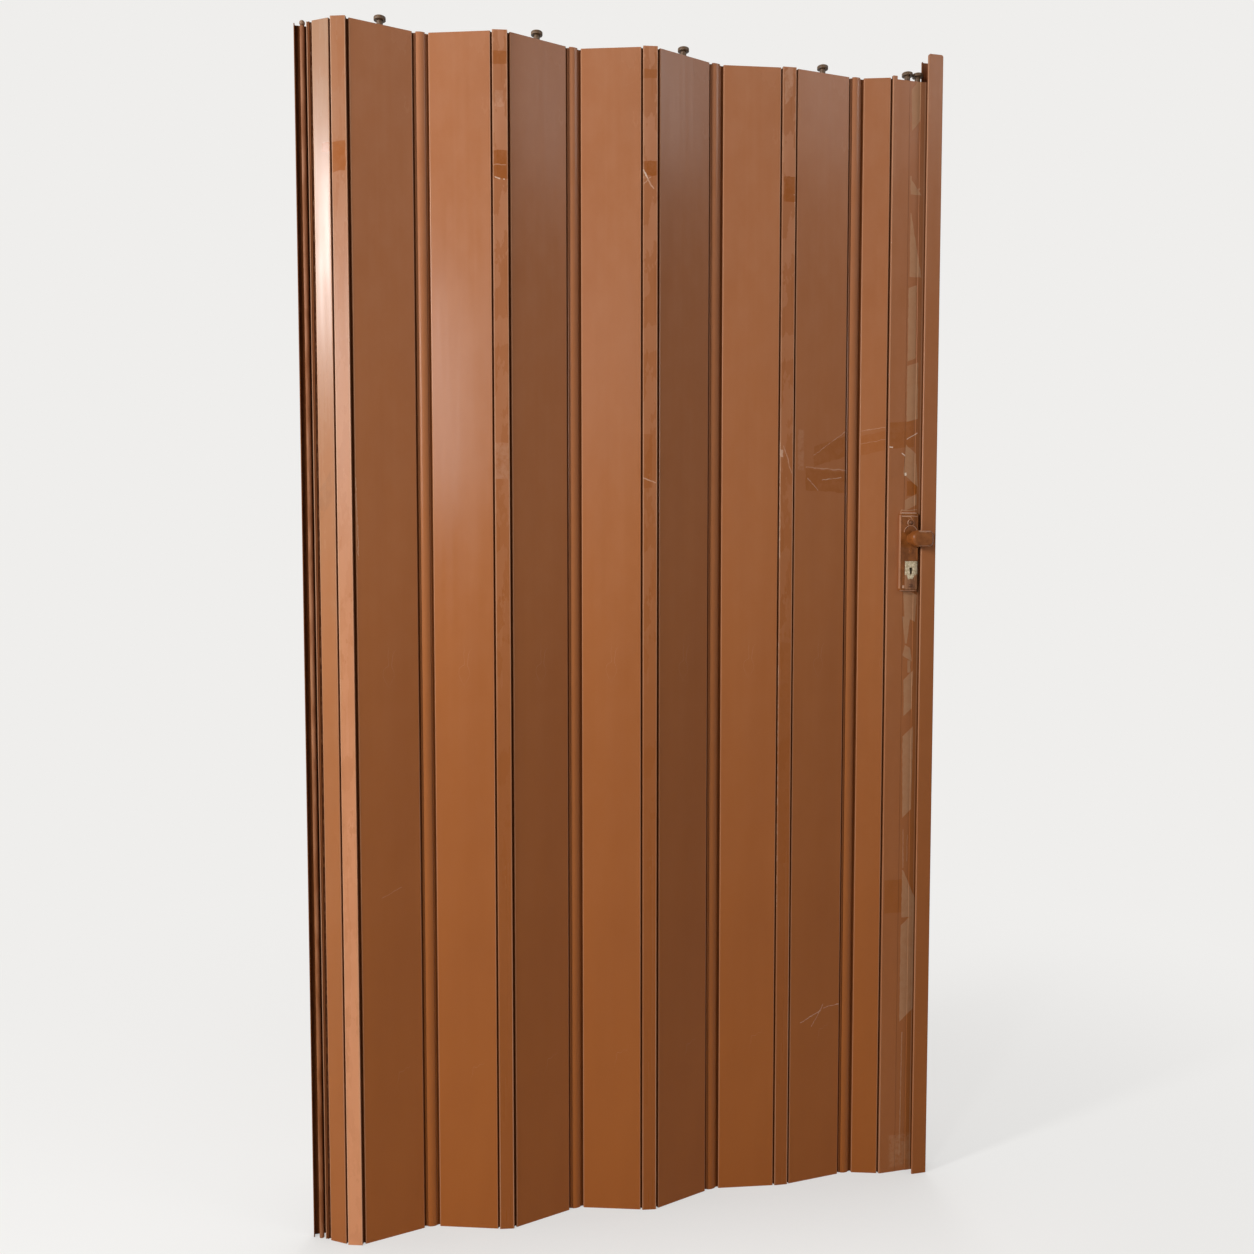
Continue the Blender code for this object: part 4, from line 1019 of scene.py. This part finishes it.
plateLook = {
    "corner": 0.0045,
    "edgeRound": 0.0016,
    "edgeReach": 0.0014,  # an edge this close to the outline is rounded
    "edgeShort": 0.0012,  # as are the corner's edges, shorter than this
    "rimWidth": 0.0034,
    "sink": 0.0009,
    "sinkRound": 0.0005,
    "spindleHole": 0.0058,
    "screwHole": 0.0023,
    "cutDeep": 0.0200,  # how far the hole cutters reach, in and out
    "cutProud": 0.0050,
    "windowPlay": 0.0003,
    "ringWire": 0.0009,
    "screwRing": 0.0060,
    "archRadius": 0.0129,
    "archRise": 0.0110,  # centre of the arch above the spindle
    "archCut": 0.0010,  # the ring is cut this far above its centre
    "studDrop": 0.0220,  # plain stud below the spindle
    "studAside": 0.0020,
    "studRadius": 0.0042,
    "studRise": 0.0007,
    "studFoot": 0.0010,
    "studRound": 0.0005,
}
plateMarks = [
    patch("glue", 0.0195, 0.0500, 1.2316, 1.2345, strength=1.0),
    patch("glue", 0.0215, 0.0400, 1.2258, 1.2277, strength=0.9),
    patch("glue", 0.0400, 0.0520, 1.2262, 1.2276, strength=0.6, slant=-0.1),
    stroke((0.0380, 1.2262), (0.0420, 1.2225), 0.0014, strength=0.7),
    patch("glue", 0.0184, 0.0196, 1.0960, 1.2290, strength=0.35),
    patch("glue", 0.0240, 0.0280, 1.0965, 1.1015, strength=1.0),
    patch("glue", 0.0185, 0.0550, 1.0912, 1.0922),
]


def startRing(name, z, y, radius):
    return startShape(name, bpy.ops.mesh.primitive_torus_add, major_radius=radius,
                      minor_radius=plateLook["ringWire"], major_segments=56, minor_segments=12,
                      location=(latchAxis.x, y, z), rotation=(math.radians(90), 0, 0))


def screwHeight(screw):
    low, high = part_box(screw)
    return (low.z + high.z) / 2


# The arch, ring and stud on the front plate's sunk field; gives the rings that are painted pale as
# rubbed high spots with a highlight
def addOrnament(plate, name, sunk):
    centre = latchAxis.z + plateLook["archRise"]
    cut = centre + plateLook["archCut"]
    arch = startRing(name + "Arch", centre, sunk, plateLook["archRadius"])
    bpy.ops.object.mode_set(mode="EDIT")
    bpy.ops.mesh.select_all(action="SELECT")
    bpy.ops.mesh.bisect(plane_co=(latchAxis.x, sunk, cut), plane_no=(0, 0, 1), use_fill=True,
                        clear_inner=True)
    bpy.ops.object.mode_set(mode="OBJECT")
    joinShape(plate, arch, "UNION")
    screw = screwHeight("plate_screw_top")
    joinShape(plate, startRing(name + "Ring", screw, sunk, plateLook["screwRing"]), "UNION")
    top = sunk - plateLook["studRise"]
    stud = startRod(name + "Stud", latchAxis.x + plateLook["studAside"],
                    latchAxis.z - plateLook["studDrop"], plateLook["studRadius"],
                    sunk + plateLook["studFoot"], top, 40)
    pickEdges(stud, onPlane(top))
    bevelPicked(plateLook["studRound"], 3)
    joinShape(plate, stud, "UNION")
    across = latchAxis.x - postAxis.x
    return (((across, 0, centre), plateLook["archRadius"], cut),
            ((across, 0, screw), plateLook["screwRing"], 0.0))


def buildPlate(name, node, side):
    low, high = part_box(node)
    front = low.y if side < 0 else high.y
    sunk = front - side * plateLook["sink"]
    plate = startBlock(name, low, high)
    pickEdges(plate, alongY)
    bevelPicked(plateLook["corner"], 8)
    pickFaces(plate, lambda normal: normal.y * side > 0.9)
    bpy.ops.mesh.inset(thickness=plateLook["rimWidth"])
    bpy.ops.transform.translate(value=(0, -side * plateLook["sink"], 0))
    bpy.ops.object.mode_set(mode="OBJECT")
    pickEdges(plate, onPlane(sunk))
    bevelPicked(plateLook["sinkRound"], 3)

    def outline(first, second):
        for point in (first, second):
            fromEdge = min(point.x - low.x, high.x - point.x, point.z - low.z, high.z - point.z)
            if not closeTo(point.y, front) or not closeTo(fromEdge, 0.0, plateLook["edgeReach"]):
                return False
        straight = closeTo(first.x, second.x) or closeTo(first.z, second.z)
        return straight or (first - second).length < plateLook["edgeShort"]

    pickEdges(plate, outline)
    bevelPicked(plateLook["edgeRound"], 5)
    screws = ("plate_screw_top", "plate_screw_bottom")
    marks = ()
    rings = ()
    if side < 0:
        rings = addOrnament(plate, name, sunk)
        marks = plateMarks
        screws = ("plate_screw_top",)  # the lower one sits on the lock's face
        faceLow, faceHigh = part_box("lock_face")
        play = Vector((plateLook["windowPlay"], plateLook["cutDeep"], plateLook["windowPlay"]))
        joinShape(plate, startBlock(name + "Window", faceLow - play, faceHigh + play), "DIFFERENCE")
    holes = [(latchAxis.z, plateLook["spindleHole"])]
    holes += [(screwHeight(screw), plateLook["screwHole"]) for screw in screws]
    deep = front - side * plateLook["cutDeep"]
    proud = front + side * plateLook["cutProud"]
    for number, (z, radius) in enumerate(holes):
        cutter = startRod(f"{name}Hole{number}", latchAxis.x, z, radius, deep, proud)
        joinShape(plate, cutter, "DIFFERENCE")
    material = handlePlastic(name + "Plastic", marks, rings)
    finishPiece(plate, node, "lead_post", material)


buildPlate("front_plate", "handle_plate", -1)
buildPlate("back_plate", "rear_plate", 1)
print("handle plates modelled")


# Hangers: a domed head on a collar and a stem, modelled once and copied

hangerLook = {
    "stem": 0.0034,
    "collar": 0.0050,
    "head": 0.0096,
    "gap": 0.0080,  # from the panel's top to the head
    "rim": 0.0046,
    "dome": 0.0026,
    "domeAngle": 84,
    "domeSteps": 6,
    "clear": 0.0003,  # between the panel's top and the collar
    "edge": 0.0007,
    "edgeReach": 0.0002,
}


def buildHangers():
    low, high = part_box("hanger_1")
    middle = (low + high) / 2
    panelTop = high.z - hangerLook["gap"] - hangerLook["rim"] - hangerLook["dome"]
    start = panelTop + hangerLook["clear"]
    hanger = startShape("hanger", bpy.ops.mesh.primitive_cylinder_add, vertices=48,
                        radius=hangerLook["stem"], depth=start - low.z,
                        location=(middle.x, middle.y, (start + low.z) / 2))
    pickFaces(hanger, lambda normal: normal.z > 0.9)

    def resize(radius, before):
        factor = radius / before
        bpy.ops.transform.resize(value=(factor, factor, 1), center_override=(middle.x, middle.y, start))

    def widen(radius, before):
        bpy.ops.mesh.extrude_region_move()
        resize(radius, before)

    def lift(height):
        bpy.ops.mesh.extrude_region_move(TRANSFORM_OT_translate={"value": (0, 0, height)})

    widen(hangerLook["collar"], hangerLook["stem"])
    lift(hangerLook["gap"] - hangerLook["clear"])
    widen(hangerLook["head"], hangerLook["collar"])
    lift(hangerLook["rim"])
    before = hangerLook["head"]
    rise = 0.0
    fullRise = math.sin(math.radians(hangerLook["domeAngle"]))
    for step in range(1, hangerLook["domeSteps"] + 1):
        angle = math.radians(hangerLook["domeAngle"] * step / hangerLook["domeSteps"])
        radius = hangerLook["head"] * math.cos(angle)
        nextRise = hangerLook["dome"] * math.sin(angle) / fullRise
        lift(nextRise - rise)
        resize(radius, before)
        before = radius
        rise = nextRise
    bpy.ops.object.mode_set(mode="OBJECT")

    # The lower edge of the head is rounded
    under = panelTop + hangerLook["gap"]

    def onRim(point):
        outside = (point.xy - middle.xy).length > hangerLook["head"] - hangerLook["edgeReach"]
        return closeTo(point.z, under) and outside

    pickEdges(hanger, lambda first, second: onRim(first) and onRim(second))
    bevelPicked(hangerLook["edge"], 4)

    for number in range(1, 7):
        node = f"hanger_{number}"
        ownLow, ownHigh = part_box(node)
        copy = hanger.copy()
        copy.data = hanger.data.copy()
        copy.name = f"top_hanger_{number}"
        bpy.context.scene.collection.objects.link(copy)
        choose(copy)
        copy.location = (ownLow + ownHigh) / 2 - middle
        applyPlace(copy)
        finishPiece(copy, node, node, hangerPlastic)
    bpy.data.objects.remove(hanger)


buildHangers()
print("hangers modelled")


# Room: pale floor and background, a small bright window at the left with two softer ones nearer,
# a lamp at the right, one behind the door, and a faint even surround

roomLook = {
    "background": (0.864, 0.855, 0.840, 1),
    "surround": 0.060,
}
lampLook = {  # place, what it points at, size and power
    "windowLight": ((-3.18, -1.17, 2.44), (-0.2, 0, 1.4), (0.36, 0.72), 96.0),
    "secondWindow": ((-2.02, -2.50, 1.88), (-0.2, 0, 1.3), (0.34, 0.90), 29.0),
    "thirdWindow": ((-1.19, -2.77, 2.05), (0.0, 0, 1.4), (0.50, 0.80), 3.0),
    "rightLamp": ((2.07, -1.85, 3.17), (0.1, 0, 1.9), (1.0, 0.7), 16.0),
    "backLamp": ((0.9, 2.9, 2.5), (0.0, 0, 1.0), (1.4, 1.0), 30.0),
}


def addAreaLight(name, place, target, size, power):
    data = bpy.data.lights.new(name, "AREA")
    data.shape = "RECTANGLE"
    data.size, data.size_y = size
    data.energy = power
    lamp = bpy.data.objects.new(name, data)
    bpy.context.scene.collection.objects.link(lamp)
    lamp.location = place
    lamp.rotation_euler = (Vector(target) - Vector(place)).to_track_quat("-Z", "Y").to_euler()


for name, look in lampLook.items():
    addAreaLight(name, *look)


# 1 for the rays that see the pale background: straight, mirrored and through glass
def seenRays(tree):
    rays = addNode(tree, "ShaderNodeLightPath")
    mirrored = larger(tree, rays.outputs["Is Glossy Ray"], rays.outputs["Is Transmission Ray"])
    return larger(tree, rays.outputs["Is Camera Ray"], mirrored)


world = bpy.data.worlds.new("surround")
bpy.context.scene.world = world
world.use_nodes = True
worldTree = world.node_tree
seen = seenRays(worldTree)
shade = worldTree.nodes["Background"]
feed(worldTree, shade, {
    "Color": blendColour(worldTree, seen, (1, 1, 1, 1), roomLook["background"]),
    "Strength": remap(worldTree, seen, 0.0, 1.0, roomLook["surround"], 1.0, False),
})

# Floor: part of it glows like the background, so that it has no far edge, and the door's contact
# shade lies on it
floorLook = {
    "size": 60,
    "below": 0.0005,  # under the door, so that no faces lie together
    "colour": (0.88, 0.87, 0.85, 1),
    "roughness": 0.75,
    "gloss": 0.1,
    "near": 0.7,  # within this distance it shows shadows most
    "far": 2.2,  # beyond this it is all background
    "glowShare": 0.70,  # share of the glow near the door
    "glowNear": 1.12,
    "reach": 0.30,  # how far from the door its soft contact shade goes
    "contact": 0.78,  # how dark that shade gets
    "closed": 0.45,  # how closed in a spot is when it is that dark
}
bpy.ops.object.select_all(action="DESELECT")
bpy.ops.mesh.primitive_plane_add(size=floorLook["size"], location=(0, 0, -floorLook["below"]))
floor = bpy.context.object
floor.name = "floor"
floorMaterial, floorTree, floorShader = newMaterial("floorPale")
feed(floorTree, floorShader, {
    "Base Color": floorLook["colour"],
    "Roughness": floorLook["roughness"],
    "Specular IOR Level": floorLook["gloss"],
})
floorPlace = addNode(floorTree, "ShaderNodeTexCoord").outputs["Object"]
away = remap(floorTree, vectorCalc(floorTree, "LENGTH", floorPlace), floorLook["near"], floorLook["far"])
occlusion = addNode(floorTree, "ShaderNodeAmbientOcclusion", {"Distance": floorLook["reach"]}, samples=8)
shaded = remap(floorTree, occlusion.outputs["AO"], floorLook["closed"], 1.0,
               floorLook["contact"], 1.0, False)
bright = times(floorTree, remap(floorTree, away, 0.0, 1.0, floorLook["glowNear"], 1.0, False), shaded)
glow = addNode(floorTree, "ShaderNodeEmission", {"Color": roomLook["background"], "Strength": bright})
share = remap(floorTree, away, 0.0, 1.0, floorLook["glowShare"], 1.0, False)
mixed = addNode(floorTree, "ShaderNodeMixShader", {
    0: times(floorTree, share, seenRays(floorTree)),
    1: floorShader.outputs[0],
    2: glow.outputs[0],
})
feed(floorTree, floorTree.nodes["Material Output"], {"Surface": mixed.outputs[0]})
floor.data.materials.append(floorMaterial)


# Camera at the photograph's place: to the left of the middle, a little above half height

cameraLook = {
    "fromWallAxis": (0.0789, -1.8642),
    "height": 1.1403,
    "down": 3.29,  # degrees below level
    "right": 13.256,  # degrees to the right of straight on
    "lens": 31.464,
    "sensor": 36,
    "nearest": 0.01,
}
camera = bpy.data.objects.new("camera", bpy.data.cameras.new("camera"))
bpy.context.scene.collection.objects.link(camera)
beside, before = cameraLook["fromWallAxis"]
camera.location = (wallAxis.x + beside, wallAxis.y + before, cameraLook["height"])
camera.rotation_euler = (math.radians(90 - cameraLook["down"]), 0, -math.radians(cameraLook["right"]))
camera.data.sensor_width = cameraLook["sensor"]
camera.data.lens = cameraLook["lens"]
camera.data.clip_start = cameraLook["nearest"]
bpy.context.scene.camera = camera
bpy.context.scene.view_settings.view_transform = "Standard"
print("room and camera ready")
